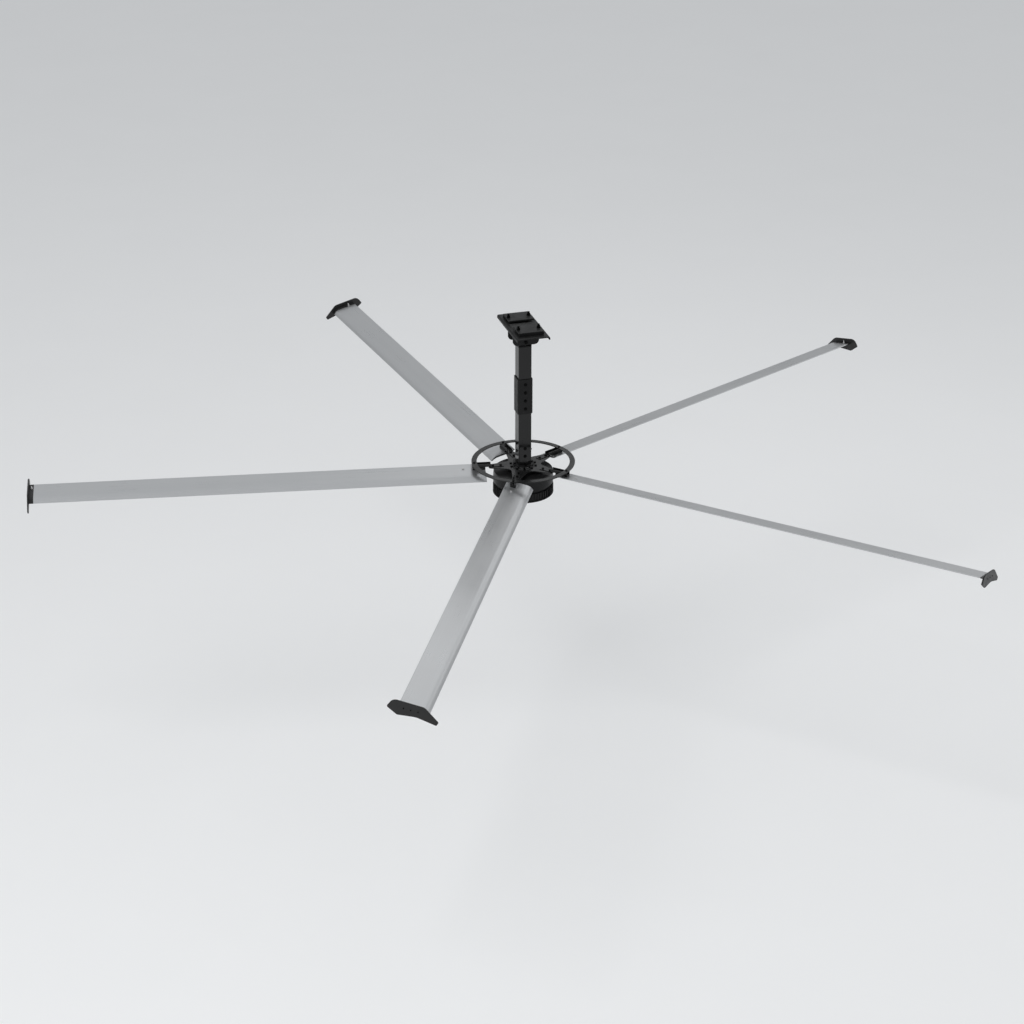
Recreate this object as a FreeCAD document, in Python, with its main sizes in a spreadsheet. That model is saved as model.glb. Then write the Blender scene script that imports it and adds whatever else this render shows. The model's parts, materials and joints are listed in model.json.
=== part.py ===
import FreeCAD, Part
import math
import os
from types import SimpleNamespace

Vector = FreeCAD.Vector
Placement = FreeCAD.Placement
Rotation = FreeCAD.Rotation
UP = Vector(0, 0, 1)

# A five-blade high volume low speed ceiling fan.
# Z points up, X runs along the supporting beam, and the origin is the middle of the seat
# that the beam's lower flange rests on. A "rise" is measured up from the blades' mid-chord plane.
DRIVING = {
    # Overall layout
    "blade_drop": 1163,  # beam seat down to the blades' mid-chord plane
    "blade_count": 5,
    "blade_phase": 170.0,  # angle of the first blade from +X, degrees
    "tilt_limit": 10,  # tilt of the pivot head each way, degrees
    # General clearances
    "running_gap": 0.05,  # radial gap of a pin or shaft that turns in its hole
    "fit_gap": 0.05,  # radial gap of a seated ring or a thread
    "side_gap": 0.3,  # gap between faces that slide past each other
    "hole_gap": 0.5,  # radial gap of a clearance hole round its bolt
    "bolt_crown": 0.94,  # flat top of a bolt head as a share of its width
    # Beam clamp
    "pad_thickness": 3,
    "pad_margin": 4,  # pad edge to the clamp plates
    "base_side": 30,  # channel past the ends of the clamp plates
    "base_end": 57,  # channel past the heels of the clamp plates
    "base_thickness": 8,
    "base_height": 24,
    "base_bend": 12,
    "clamp_length": 190,
    "clamp_depth": 158,
    "clamp_thickness": 12,
    "clamp_gap": 100,  # room for the beam's web between the plates
    "beam_flange": 11,  # thickness of the gripped beam flange
    "clamp_heel": 12,
    "clamp_edge": 3,
    "clamp_bolt_inset": 18,  # bolt from the end of its clamp plate
    "clamp_bolt_reach": 78,  # bolt from the inner edge of its clamp plate
    "clamp_bolt_radius": 8,
    "clamp_bolt_flats": 24,
    "clamp_head_height": 10,
    "clamp_nut_height": 13,
    "clamp_washer_radius": 15,
    "clamp_washer_height": 3,
    "clamp_bolt_end": 13,  # thread left above the nut
    # Pivot head
    "pivot_drop": 109,  # beam seat down to the crossing of the two tilt axes
    "ear_inset": 17,  # ear from the channel's flanges
    "ear_thickness": 10,
    "ear_clear": 8,  # ear from the side of the tube
    "ear_corner": 35,
    "ear_below": 22,  # ear below the pivot
    "pivot_radius": 8,
    "pivot_flats": 24,
    "pivot_head_height": 10,
    "pivot_grip": 24,  # length of a pivot bolt inside the cross block
    "cross_height": 52,
    "cross_edge": 6,
    "head_clear": 4,  # fork's plate from the tilted cross block
    "head_plate": 9,
    "cheek_thickness": 10,
    "cheek_width": 90,
    "cheek_above": 30,
    "cheek_corner": 24,
    "plug_depth": 60,
    # Drop tube
    "tube_side": 100,
    "tube_wall": 6,
    "tube_corner": 8,
    "plug_gap": 0.3,
    "joint_rise": 614,
    "joint_gap": 1,
    "coupler_end": 40.5,  # sleeve past its outermost bolts
    "coupler_wall": 8,
    "coupler_pitch": 65,
    "coupler_rows": 4,
    "tube_bolt_radius": 6,
    "tube_bolt_flats": 18,
    "tube_head_height": 7.5,
    "tube_nut_height": 10,
    "tube_bolt_end": 5,
    "gland_clear": 5,  # gland below the fork's plug
    "gland_radius": 10,
    "gland_bore": 5.5,
    "gland_flats": 28,
    "gland_collar": 6,
    "gland_dome": 15,
    "gland_lip": 2.5,
    # Tube foot and spindle
    "spindle_gap": 2,
    "spindle_flange": 8,
    "foot_flange": 8,
    "foot_bolt_clear": 5.6,  # foot bolt's head from the side of the tube
    "foot_margin": 3.6,  # flange past the foot bolts' heads
    "foot_bolt_count": 4,
    "foot_bolt_grip": 7,  # thread inside the spindle's flange
    "cable_bore": 18,
    "foot_bolt_first": 72,  # lowest cross bolt above the end of the tube
    "foot_bolt_pitch": 62,
    "foot_bolt_stagger": 31,
    "spigot_end": 24,  # spigot past its highest bolt
    # Motor, from the spindle outwards
    "bearing_bore": 35,
    "bearing_section": 27.5,
    "bearing_width": 24,
    "ball_radius": 7.9,
    "ball_count": 12,
    "race_gap": 0.1,
    "race_half": 5.5,  # half the distance between the two rings
    "bearing_lip": 4,
    "bearing_ledge": 10.5,
    "hub_wall": 17.5,  # wall of the bearing seats
    "seal_section": 15,
    "seal_width": 10,
    "seal_inset": 2,
    "seal_space": 11,
    "locknut_height": 11,
    "locknut_wall": 3,
    "locknut_clear": 5,
    "end_clear": 3,  # spindle's end above the bottom cover
    "stator_clear": 3,  # stator hub above the bottom cover's bearing seat
    "stator_hub_width": 22,
    "stator_gap": 12,  # stator core outside the bearing seat
    "yoke_width": 48,
    "tooth_length": 54.5,
    "tooth_width": 14,
    "stack_height": 52,
    "slot_count": 36,
    "coil_gap": 2,
    "coil_overhang": 8,
    "coil_foot": 4,
    "coil_end": 8.5,
    "air_gap": 1.5,
    "magnet_thickness": 8.25,
    "magnet_count": 40,
    "magnet_share": 0.92,  # share of the circle that the magnets cover
    "recess_wall": 6.7,
    "screw_count": 12,
    "screw_radius": 3,
    "screw_head_radius": 5,
    "screw_head_height": 4,
    "screw_margin": 3,  # metal round a screw or its head
    "casing_screw_grip": 14,
    "cover_screw_grip": 12,
    "drum_wall": 8,  # drum inside its screws
    "drum_height": 75,
    "drum_draft": 6,
    "drum_plate": 12,
    "boss_wall_width": 11,  # boss outside its bolts
    "boss_height": 30,
    "casing_flange": 10,
    "recess_height": 28,
    "cover_plate": 10,
    "cover_lip": 5,  # casing round the bottom cover
    "fin_height": 65,
    "fin_depth": 8,
    "fin_count": 60,
    "fin_thickness": 4,
    "fin_rounding": 1.6,
    "fin_sink": 2,
    "fin_inset": 1,  # fin edge inside the bottom rim
    "rim_height": 8,
    "rim_corner": 2,
    # Hub, from the star plate's middle outwards
    "land_rise": 38,  # seat of the struts on the star plate and on the pitch wedges
    "star_thickness": 8,
    "star_hole_gap": 27,  # hole of the star plate round the spindle
    "star_bolt_clear": 4.6,  # star bolts' heads outside the foot flange
    "star_bolt_count": 10,
    "star_bolt_grip": 18,
    "star_valley_margin": 10,
    "star_valley_corner": 45,
    "star_tip_margin": 6,
    "star_tip_corner": 18,
    "strut_width": 42,
    "strut_height": 26,
    "strut_wall": 4,
    "strut_bend": 6,
    "strut_inner": 150,
    "strut_end": 20,  # first bolt from the strut's inner end
    "strut_pitch": 60,
    "star_tip": 32,  # arm past its outer bolt
    "hub_bolt_end": 4,  # thread left below the star plate
    "root_gap": 26,  # blade root past the star plate's arm
    "root_bolt": 22,  # first blade bolt from the root
    "ring_step": 60,  # ring's bolts past the first blade bolt
    "ring_width": 40,
    "ring_thickness": 6,
    "flange_step": 15,  # the strut's flanges start past its outer star bolt
    "strut_tail": 16,  # strut past the ring's bolts
    "lone_step": 69,  # the bolt that sits on the blade alone, past the strut's end
    "blade_bolt_radius": 5,
    "blade_bolt_flats": 16,
    "blade_head_height": 6.4,
    "nut_bar_inset": 4,
    "nut_bar_thickness": 8,
    "nut_bar_margin": 12,
    # Blade section, measured along its pitched flat top from the strut's middle line
    "blade_tip": 3642,
    "blade_pitch": 11.56,  # fall of the flat top towards the trailing edge, degrees
    "wedge_height": 15.1,  # pitch wedge at the strut's middle line
    "wedge_margin": 1,  # wedge past the strut's sides
    "blade_depth": 18,
    "nose_reach": 62,
    "nose_radius": 3.5,
    "nose_solid": 14,
    "belly_round": 30,
    "arch_reach": 100,  # highest place of the underside, in front of the tail
    "arch_depth": 14,
    "arch_round": 80,
    "tail_knee": 117,  # corner where the top turns down to the trailing edge
    "tail_bend": 66,
    "tail_turn": 45,  # degrees
    "tail_length": 36,
    "tail_thickness": 4,
    "tail_solid": 34,
    "skin": 2.5,
    "web": 3,
    "rear_web": 72,  # middle of the rear web behind the strut's middle line
    "boss_wall": 3,
    "end_screw_radius": 2.2,
    "end_screw_head": 4.5,
    "end_screw_height": 2.6,
    "end_screw_grip": 20,
    # End plate, in the same pitched section, on a collar that carries on the blade's shape
    "collar_length": 34,
    "plate_thickness": 10,
    "plate_brow": 103,
    "plate_brow_rise": 35,
    "plate_brow_round": 50,
    "plate_knee": 106,
    "plate_knee_rise": 33,
    "plate_knee_round": 50,
    "plate_tail": 212,
    "plate_tail_drop": 46,
    "plate_heel": 203,
    "plate_heel_drop": 70,
    "plate_tip_round": 8,
    "plate_arch": 66,
    "plate_arch_drop": 49,
    "plate_arch_round": 150,
    "plate_chin": 58,
    "plate_chin_drop": 68,
    "plate_chin_round": 25,
    "plate_nose": 133,
    "plate_nose_drop": 28,
    "plate_nose_round": 10,
    "plate_edge": 3,
}

doc = FreeCAD.newDocument("ceiling_fan")
dims = doc.addObject("Spreadsheet::Sheet", "dims")
for row, (alias, value) in enumerate(DRIVING.items(), start=1):
    dims.set(f"A{row}", alias)
    dims.set(f"B{row}", str(value))
    dims.setAlias(f"B{row}", alias)
doc.recompute()
d = SimpleNamespace(**{alias: float(dims.get(alias)) for alias in DRIVING})
subparts = []

# Sizes that follow from the driving ones, on the same object.
d.base_width = d.clamp_length + 2 * d.base_side
d.base_length = d.clamp_gap + 2 * (d.clamp_depth + d.base_end)
d.clamp_bolt_x = d.clamp_length / 2 - d.clamp_bolt_inset
d.clamp_bolt_y = d.clamp_gap / 2 + d.clamp_bolt_reach
d.ear_width = d.base_width - 2 * (d.base_thickness + d.ear_inset)
d.ear_inner = d.tube_side / 2 + d.ear_clear
TILT = math.radians(d.tilt_limit)
CROSS_Y = d.ear_inner - d.side_gap
d.head_gap = d.cross_height / 2 * math.cos(TILT) + CROSS_Y * math.sin(TILT) + d.head_clear
d.coupler_length = d.coupler_pitch * (d.coupler_rows - 1) + 2 * d.coupler_end
d.gland_drop = d.plug_depth + d.gland_radius + d.gland_clear
d.spigot_height = d.foot_bolt_first + d.foot_bolt_pitch + d.foot_bolt_stagger + d.spigot_end
HEAD_CORNER = d.tube_bolt_flats / math.sqrt(3)
d.foot_circle = d.tube_side / 2 + d.foot_bolt_clear + HEAD_CORNER
d.foot_radius = d.foot_circle + HEAD_CORNER + d.foot_margin
d.bearing_outer = d.bearing_bore + d.bearing_section
d.bearing_hub = d.bearing_outer + d.hub_wall
d.seal_radius = d.bearing_bore + d.seal_section
d.locknut_flats = 2 * (d.bearing_bore + d.locknut_wall)
d.locknut_space = d.bearing_outer - d.bearing_ledge
d.stator_bore = d.bearing_hub + d.stator_gap
d.stator_yoke = d.stator_bore + d.yoke_width
d.stator_radius = d.stator_yoke + d.tooth_length
d.coil_inner = d.stator_yoke + d.coil_foot
d.coil_outer = d.stator_radius - d.coil_end
d.magnet_inner = d.stator_radius + d.air_gap
d.casing_bore = d.magnet_inner + d.magnet_thickness + d.fit_gap
d.recess_radius = d.casing_bore + d.recess_wall
d.casing_screw_circle = d.recess_radius + d.screw_head_radius + d.screw_margin
d.flange_radius = d.casing_screw_circle + d.screw_head_radius + d.screw_margin
d.drum_inner = d.casing_screw_circle - d.screw_radius - d.drum_wall
d.cover_screw_circle = d.casing_bore + d.screw_radius + d.screw_margin
d.cover_radius = d.cover_screw_circle + d.screw_radius + d.screw_margin
d.fin_root = d.cover_radius + d.cover_lip
d.drum_radius = d.fin_root + d.fin_depth
d.drum_radius_top = d.drum_radius - d.drum_draft
d.star_hole = d.bearing_bore + d.star_hole_gap
d.star_bolt_circle = d.foot_radius + d.star_bolt_clear + HEAD_CORNER
d.boss_radius = d.star_bolt_circle + d.tube_bolt_radius + d.boss_wall_width
d.star_valley = d.boss_radius + d.star_valley_margin
d.star_tip_width = d.strut_width + 2 * d.star_tip_margin
d.strut_bolt_inner = d.strut_inner + d.strut_end
d.strut_bolt_outer = d.strut_bolt_inner + d.strut_pitch
d.star_reach = d.strut_bolt_outer + d.star_tip
d.blade_root = d.star_reach + d.root_gap
d.blade_bolt_inner = d.blade_root + d.root_bolt
RING_MIDDLE = d.blade_bolt_inner + d.ring_step
d.strut_outer = RING_MIDDLE + d.strut_tail
LONE_BOLT = d.strut_outer + d.lone_step
BLADE_BOLT_RADII = (d.blade_bolt_inner, RING_MIDDLE)
d.blade_hole = d.blade_bolt_radius + d.hole_gap
d.nut_bar_width = d.strut_width - 2 * d.nut_bar_inset
d.wedge_width = d.strut_width + 2 * d.wedge_margin
d.blade_rise = d.land_rise - d.wedge_height
PITCH = math.radians(d.blade_pitch)

# Levels above the blades' mid-chord plane, and a few shared places.
STAR_BOTTOM = d.land_rise - d.star_thickness
DRUM_TOP = STAR_BOTTOM - d.boss_height
CASING_TOP = DRUM_TOP - d.drum_height
FIN_TOP = CASING_TOP - d.casing_flange - d.recess_height
CASING_BOTTOM = FIN_TOP - d.fin_height
SPINDLE_TOP = d.land_rise + d.spindle_gap + d.spindle_flange
TUBE_BOTTOM = SPINDLE_TOP + d.foot_flange
TUBE_TOP = d.blade_drop - d.pivot_drop - d.head_gap - d.head_plate
UPPER_BEARING = STAR_BOTTOM - d.seal_inset - d.seal_width - d.seal_space - d.bearing_width
LOWER_BEARING = CASING_BOTTOM + d.cover_plate + d.locknut_height + d.locknut_clear
LOWER_SEAT_TOP = LOWER_BEARING + d.bearing_width + d.bearing_lip / 2
STATOR_MIDDLE = LOWER_SEAT_TOP + d.stator_clear + d.stator_hub_width / 2
SPINDLE_END = CASING_BOTTOM + d.cover_plate + d.end_clear
CLAMP_BOTTOM = -d.pad_thickness
CLAMP_TOP = d.beam_flange + d.clamp_thickness
WEB_BOTTOM = -d.pad_thickness - d.base_thickness
COUPLER_HALF = d.tube_side / 2 + d.plug_gap + d.coupler_wall
CHEEK_INNER = d.tube_side / 2 - d.cheek_thickness
CROSS_X = CHEEK_INNER - d.side_gap
BALL_CIRCLE = (d.bearing_bore + d.bearing_outer) / 2
BLADE_ANGLES = [d.blade_phase + 360 / d.blade_count * k for k in range(int(d.blade_count))]
COUPLER_ROWS = [
    d.joint_rise + d.coupler_pitch * (k - (d.coupler_rows - 1) / 2)
    for k in range(int(d.coupler_rows))
]
FRONT_ROWS = [TUBE_BOTTOM + d.foot_bolt_first + d.foot_bolt_pitch * k for k in range(2)]
SIDE_ROWS = [height + d.foot_bolt_stagger for height in FRONT_ROWS]


# Helpers for outlines in a sketch plane

def arc(start, middle, end):
    """The arc through three points, kept counter-clockwise."""
    circle = Part.Circle(Vector(*start, 0), Vector(*middle, 0), Vector(*end, 0))
    centre = circle.Center
    first = math.atan2(start[1] - centre.y, start[0] - centre.x)
    via = math.atan2(middle[1] - centre.y, middle[0] - centre.x)
    last = math.atan2(end[1] - centre.y, end[0] - centre.x)
    if (via - first) % math.tau > (last - first) % math.tau:
        first, last = last, first
    return Part.ArcOfCircle(Part.Circle(centre, UP, circle.Radius), first, last)


def line(start, end):
    return Part.LineSegment(Vector(*start, 0), Vector(*end, 0))


def hole(x, y, radius):
    return Part.Circle(Vector(x, y, 0), UP, radius)


def outline(corners):
    """A closed outline from (x, y, radius) corners, sharp where the radius is 0."""
    spans = []
    edges = []
    for k, (x, y, radius) in enumerate(corners):
        here = Vector(x, y, 0)
        before = (Vector(*corners[k - 1][:2], 0) - here).normalize()
        after = (Vector(*corners[(k + 1) % len(corners)][:2], 0) - here).normalize()
        half = before.getAngle(after) / 2
        start = here + before * (radius / math.tan(half))
        end = here + after * (radius / math.tan(half))
        spans.append((start, end))
        if radius > 0:
            middle = here + (before + after).normalize() * (radius / math.sin(half) - radius)
            edges.append(arc(start[:2], middle[:2], end[:2]))
    for k, (start, _) in enumerate(spans):
        edges.append(line(spans[k - 1][1][:2], start[:2]))
    return edges


def rectangle(half_x, half_y, corner):
    signs = ((-1, -1), (1, -1), (1, 1), (-1, 1))
    return outline([(sx * half_x, sy * half_y, corner) for sx, sy in signs])


def channel(width, height, wall, bend, opens):
    """A folded channel with its web's outer face on y = 0, open up (1) or down (-1)."""
    half = width / 2
    inner = half - wall
    inner_bend = bend - wall
    return outline([
        (-half, opens * height, 0), (-half, 0, bend), (half, 0, bend), (half, opens * height, 0),
        (inner, opens * height, 0), (inner, opens * wall, inner_bend),
        (-inner, opens * wall, inner_bend), (-inner, opens * height, 0),
    ])


# Helpers for the objects of the document

def bind(target, **expressions):
    """Tie properties to the sheet; a double underscore stands for a dot."""
    for name, expression in expressions.items():
        target.setExpression(name.replace("__", "."), expression)
    return target


def subpart(target, label):
    target.Label = label
    subparts.append(target)
    return target


def new_body(label, level="0", angle=0.0):
    body = doc.addObject("PartDesign::Body", label)
    body.Placement = Placement(Vector(0, 0, 0), Rotation(UP, angle))
    bind(body, Placement__Base__z=level)
    return subpart(body, label)


def sketch(body, name, plane, edges, offset, lean=0.0):
    """A drawing on an origin plane of its body, moved off it and leant about the plane's x axis."""
    drawing = body.newObject("Sketcher::SketchObject", f"{body.Name}_{name}_sketch")
    support = next(item for item in body.Origin.OriginFeatures if item.Role == plane)
    drawing.AttachmentSupport = [(support, "")]
    drawing.MapMode = "FlatFace"
    drawing.AttachmentOffset = Placement(Vector(0, 0, 0), Rotation(Vector(1, 0, 0), lean))
    bind(drawing, AttachmentOffset__Base__z=offset)
    drawing.addGeometry(edges, False)
    return drawing


def pad(body, name, plane, edges, length, offset="0", backward=False):
    feature = body.newObject("PartDesign::Pad", f"{body.Name}_{name}")
    feature.Profile = sketch(body, name, plane, edges, offset)
    feature.Reversed = backward
    return bind(feature, Length=length)


def pocket(body, name, plane, edges, length, offset="0", lean=0.0):
    """A cut against the plane's normal, which has to take material away."""
    doc.recompute()
    before = body.Shape.Volume
    feature = body.newObject("PartDesign::Pocket", f"{body.Name}_{name}")
    feature.Profile = sketch(body, name, plane, edges, offset, lean)
    bind(feature, Length=length)
    doc.recompute()
    if body.Shape.Volume >= before:
        raise ValueError(f"{feature.Name} cuts nothing")
    return feature


def cylinder(name, radius, height, bottom):
    solid = doc.addObject("Part::Cylinder", name)
    return bind(solid, Radius=radius, Height=height, Placement__Base__z=bottom)


def fuse(name, *pieces):
    solid = doc.addObject("Part::MultiFuse", name)
    solid.Shapes = list(pieces)
    return solid


def cut(name, base, tool):
    solid = doc.addObject("Part::Cut", name)
    solid.Base = base
    solid.Tool = tool
    return solid


def group(label, *sets):
    """One node of separate solids: sets of placements, each with the shape that stands there."""
    node = doc.addObject("Part::Feature", label)
    solids = [shape.transformed(place.toMatrix()) for places, shape in sets for place in places]
    node.Shape = Part.makeCompound(solids)
    return subpart(node, label)


def drill(name, places, radius, depth):
    """A cutter of equal round holes that go down from their placements."""
    node = doc.addObject("Part::Feature", name)
    tool = Part.makeCylinder(radius, depth, Vector(0, 0, -depth))
    node.Shape = Part.makeCompound([tool.transformed(place.toMatrix()) for place in places])
    return node


def circle_places(angles, radius, rise, axis=UP):
    """Placements on a circle about the spindle, at a rise above the blade plane."""
    return [
        Placement(
            Vector(
                radius * math.cos(math.radians(angle)),
                radius * math.sin(math.radians(angle)),
                rise - d.blade_drop,
            ),
            Rotation(UP, angle).multiply(Rotation(UP, axis)),
        )
        for angle in angles
    ]


def even_angles(count, start=0.0):
    return [start + 360 / count * k for k in range(int(count))]


def hex_prism(flats, height):
    radius = flats / math.sqrt(3)
    corners = [
        Vector(radius * math.cos(math.pi / 3 * k), radius * math.sin(math.pi / 3 * k), 0)
        for k in range(7)
    ]
    return Part.Face(Part.makePolygon(corners)).extrude(Vector(0, 0, height))


def hex_bolt(radius, length, flats, head):
    """A hexagon bolt: seat on z = 0, chamfered head above, shank below."""
    top_radius = d.bolt_crown * flats / 2
    cap = Part.makeCone(top_radius + head * math.sqrt(3), top_radius, head)
    shank = Part.makeCylinder(radius, length, Vector(0, 0, -length))
    return hex_prism(flats, head).common(cap).fuse(shank)


def frame_bolt(length):
    """The bolt of the tube, its foot and the star plate."""
    return hex_bolt(d.tube_bolt_radius, length, d.tube_bolt_flats, d.tube_head_height)


def blade_bolt(length):
    """The bolt of the blades and the safety ring."""
    return hex_bolt(d.blade_bolt_radius, length, d.blade_bolt_flats, d.blade_head_height)


def hex_nut(radius, flats, height):
    return hex_prism(flats, height).cut(Part.makeCylinder(radius + d.fit_gap, height))


def round_screw(radius, length, head_radius, head):
    """A screw with a round head: seat on z = 0, head above, shank below."""
    shank = Part.makeCylinder(radius, length, Vector(0, 0, -length))
    return Part.makeCylinder(head_radius, head).fuse(shank)


def hub(expression):
    """A level of the hub, written above the blade plane, as a level below the beam seat."""
    return f"{expression} - dims.blade_drop"


# Beam clamp: channel, seat pad, two clamp plates and their bolts

def clamp_places(level, axis=UP):
    return [
        Placement(Vector(sx * d.clamp_bolt_x, sy * d.clamp_bolt_y, level), Rotation(UP, axis))
        for sx in (-1, 1) for sy in (-1, 1)
    ]


def clamp_holes(sides=(-1, 1)):
    radius = d.clamp_bolt_radius + d.hole_gap
    x = d.clamp_bolt_x
    y = d.clamp_bolt_y
    return [hole(sx * x, sy * y, radius) for sx in (-1, 1) for sy in sides]


def make_beam_clamp():
    base = new_body("base_channel", "-dims.pad_thickness")
    profile = channel(d.base_width, d.base_height, d.base_thickness, d.base_bend, -1)
    pad(base, "fold", "XZ_Plane", profile, f"{d.base_length}", f"{-d.base_length / 2}")
    pocket(base, "bolt_holes", "XY_Plane", clamp_holes(), "dims.base_thickness")

    seat = new_body("beam_pad", "-dims.pad_thickness")
    profile = rectangle(d.clamp_length / 2, d.clamp_gap / 2 - d.pad_margin, d.clamp_edge)
    pad(seat, "sheet", "XY_Plane", profile, "dims.pad_thickness")

    near = d.clamp_gap / 2
    far = near + d.clamp_depth
    for label, side in (("clamp_plate_front", -1), ("clamp_plate_rear", 1)):
        plate = new_body(label)
        profile = outline([
            (side * near, d.beam_flange, 0),
            (side * near, CLAMP_TOP, d.clamp_edge),
            (side * far, CLAMP_TOP, d.clamp_edge),
            (side * far, CLAMP_BOTTOM, 0),
            (side * (far - d.clamp_heel), CLAMP_BOTTOM, 0),
            (side * (far - d.clamp_heel), d.beam_flange, d.clamp_edge),
        ])
        pad(plate, "profile", "YZ_Plane", profile, "dims.clamp_length", "-dims.clamp_length / 2")
        pocket(plate, "bolt_holes", "XY_Plane", clamp_holes((side,)), "dims.clamp_thickness",
               "dims.beam_flange + dims.clamp_thickness")

    washer_top = CLAMP_TOP + d.clamp_washer_height
    length = washer_top + d.clamp_nut_height + d.clamp_bolt_end - WEB_BOTTOM
    bolt = hex_bolt(d.clamp_bolt_radius, length, d.clamp_bolt_flats, d.clamp_head_height)
    group("clamp_bolts", (clamp_places(WEB_BOTTOM, Vector(0, 0, -1)), bolt))
    nut = hex_nut(d.clamp_bolt_radius, d.clamp_bolt_flats, d.clamp_nut_height)
    group("clamp_nuts", (clamp_places(washer_top), nut))
    washer = Part.makeCylinder(d.clamp_washer_radius, d.clamp_washer_height)
    bore = Part.makeCylinder(d.clamp_bolt_radius + d.hole_gap, d.clamp_washer_height)
    group("clamp_washers", (clamp_places(CLAMP_TOP), washer.cut(bore)))


# Pivot head: two ears under the channel, a cross block and a fork on the tube

def make_pivot_head():
    pin_hole = d.pivot_radius + d.running_gap
    profile = outline([
        (-d.ear_width / 2, WEB_BOTTOM, 0),
        (-d.ear_width / 2, -d.pivot_drop - d.ear_below, d.ear_corner),
        (d.ear_width / 2, -d.pivot_drop - d.ear_below, d.ear_corner),
        (d.ear_width / 2, WEB_BOTTOM, 0),
    ])
    profile.append(hole(0, -d.pivot_drop, pin_hole))
    for label, offset in (
        ("yoke_ear_front", f"{d.ear_inner}"),
        ("yoke_ear_rear", f"{-d.ear_inner} - dims.ear_thickness"),
    ):
        ear = new_body(label)
        pad(ear, "plate", "XZ_Plane", profile, "dims.ear_thickness", offset)

    block = new_body("cross_block", "-dims.pivot_drop")
    bore = [hole(0, 0, d.pivot_radius + d.fit_gap)]
    pad(block, "block", "XY_Plane", rectangle(CROSS_X, CROSS_Y, d.cross_edge),
        "dims.cross_height", "-dims.cross_height / 2")
    pocket(block, "bore_y", "XZ_Plane", bore, f"{2 * CROSS_Y}", f"{CROSS_Y}")
    pocket(block, "bore_x", "YZ_Plane", bore, f"{2 * CROSS_X}", f"{CROSS_X}")

    fork = new_body("tube_head", "-dims.pivot_drop")
    half = d.tube_side / 2
    inner = half - d.tube_wall - d.plug_gap
    plate_bottom = f"{-d.head_gap} - dims.head_plate"
    pad(fork, "plate", "XY_Plane", rectangle(half, half, d.tube_corner),
        "dims.head_plate", plate_bottom)
    pad(fork, "plug", "XY_Plane", rectangle(inner, inner, d.tube_corner - d.tube_wall),
        "dims.plug_depth", plate_bottom, backward=True)
    cheek = outline([
        (-d.cheek_width / 2, -d.head_gap, 0),
        (d.cheek_width / 2, -d.head_gap, 0),
        (d.cheek_width / 2, d.cheek_above, d.cheek_corner),
        (-d.cheek_width / 2, d.cheek_above, d.cheek_corner),
    ])
    cheek.append(hole(0, 0, pin_hole))
    pad(fork, "right_cheek", "YZ_Plane", cheek, "dims.cheek_thickness",
        "dims.tube_side / 2 - dims.cheek_thickness")
    pad(fork, "left_cheek", "YZ_Plane", cheek, "dims.cheek_thickness", "-dims.tube_side / 2")

    def pivot_set(direction, face, plate):
        """Two pivot bolts, with their heads just off the outer faces of the plates they turn in."""
        shank = d.pivot_grip + plate + 2 * d.side_gap
        places = [
            Placement(way * (face + d.side_gap) - UP * d.pivot_drop, Rotation(UP, way))
            for way in (direction, -direction)
        ]
        return places, hex_bolt(d.pivot_radius, shank, d.pivot_flats, d.pivot_head_height)

    group(
        "pivot_bolts",
        pivot_set(Vector(1, 0, 0), d.tube_side / 2, d.cheek_thickness),
        pivot_set(Vector(0, 1, 0), d.ear_inner + d.ear_thickness, d.ear_thickness),
    )


# Drop tube: two lengths of square tube, the sleeve between them and the foot

def tube_outline(half, wall, corner):
    return rectangle(half, half, corner) + rectangle(half - wall, half - wall, corner - wall)


def bolt_holes(heights):
    return [hole(0, height, d.tube_bolt_radius + d.hole_gap) for height in heights]


def side_holes(body, name, plane, heights, reach):
    """Bolt holes right through a square piece whose faces lie at the given reach."""
    pocket(body, name, plane, bolt_holes(heights), f"2 * ({reach})", reach)


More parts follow.
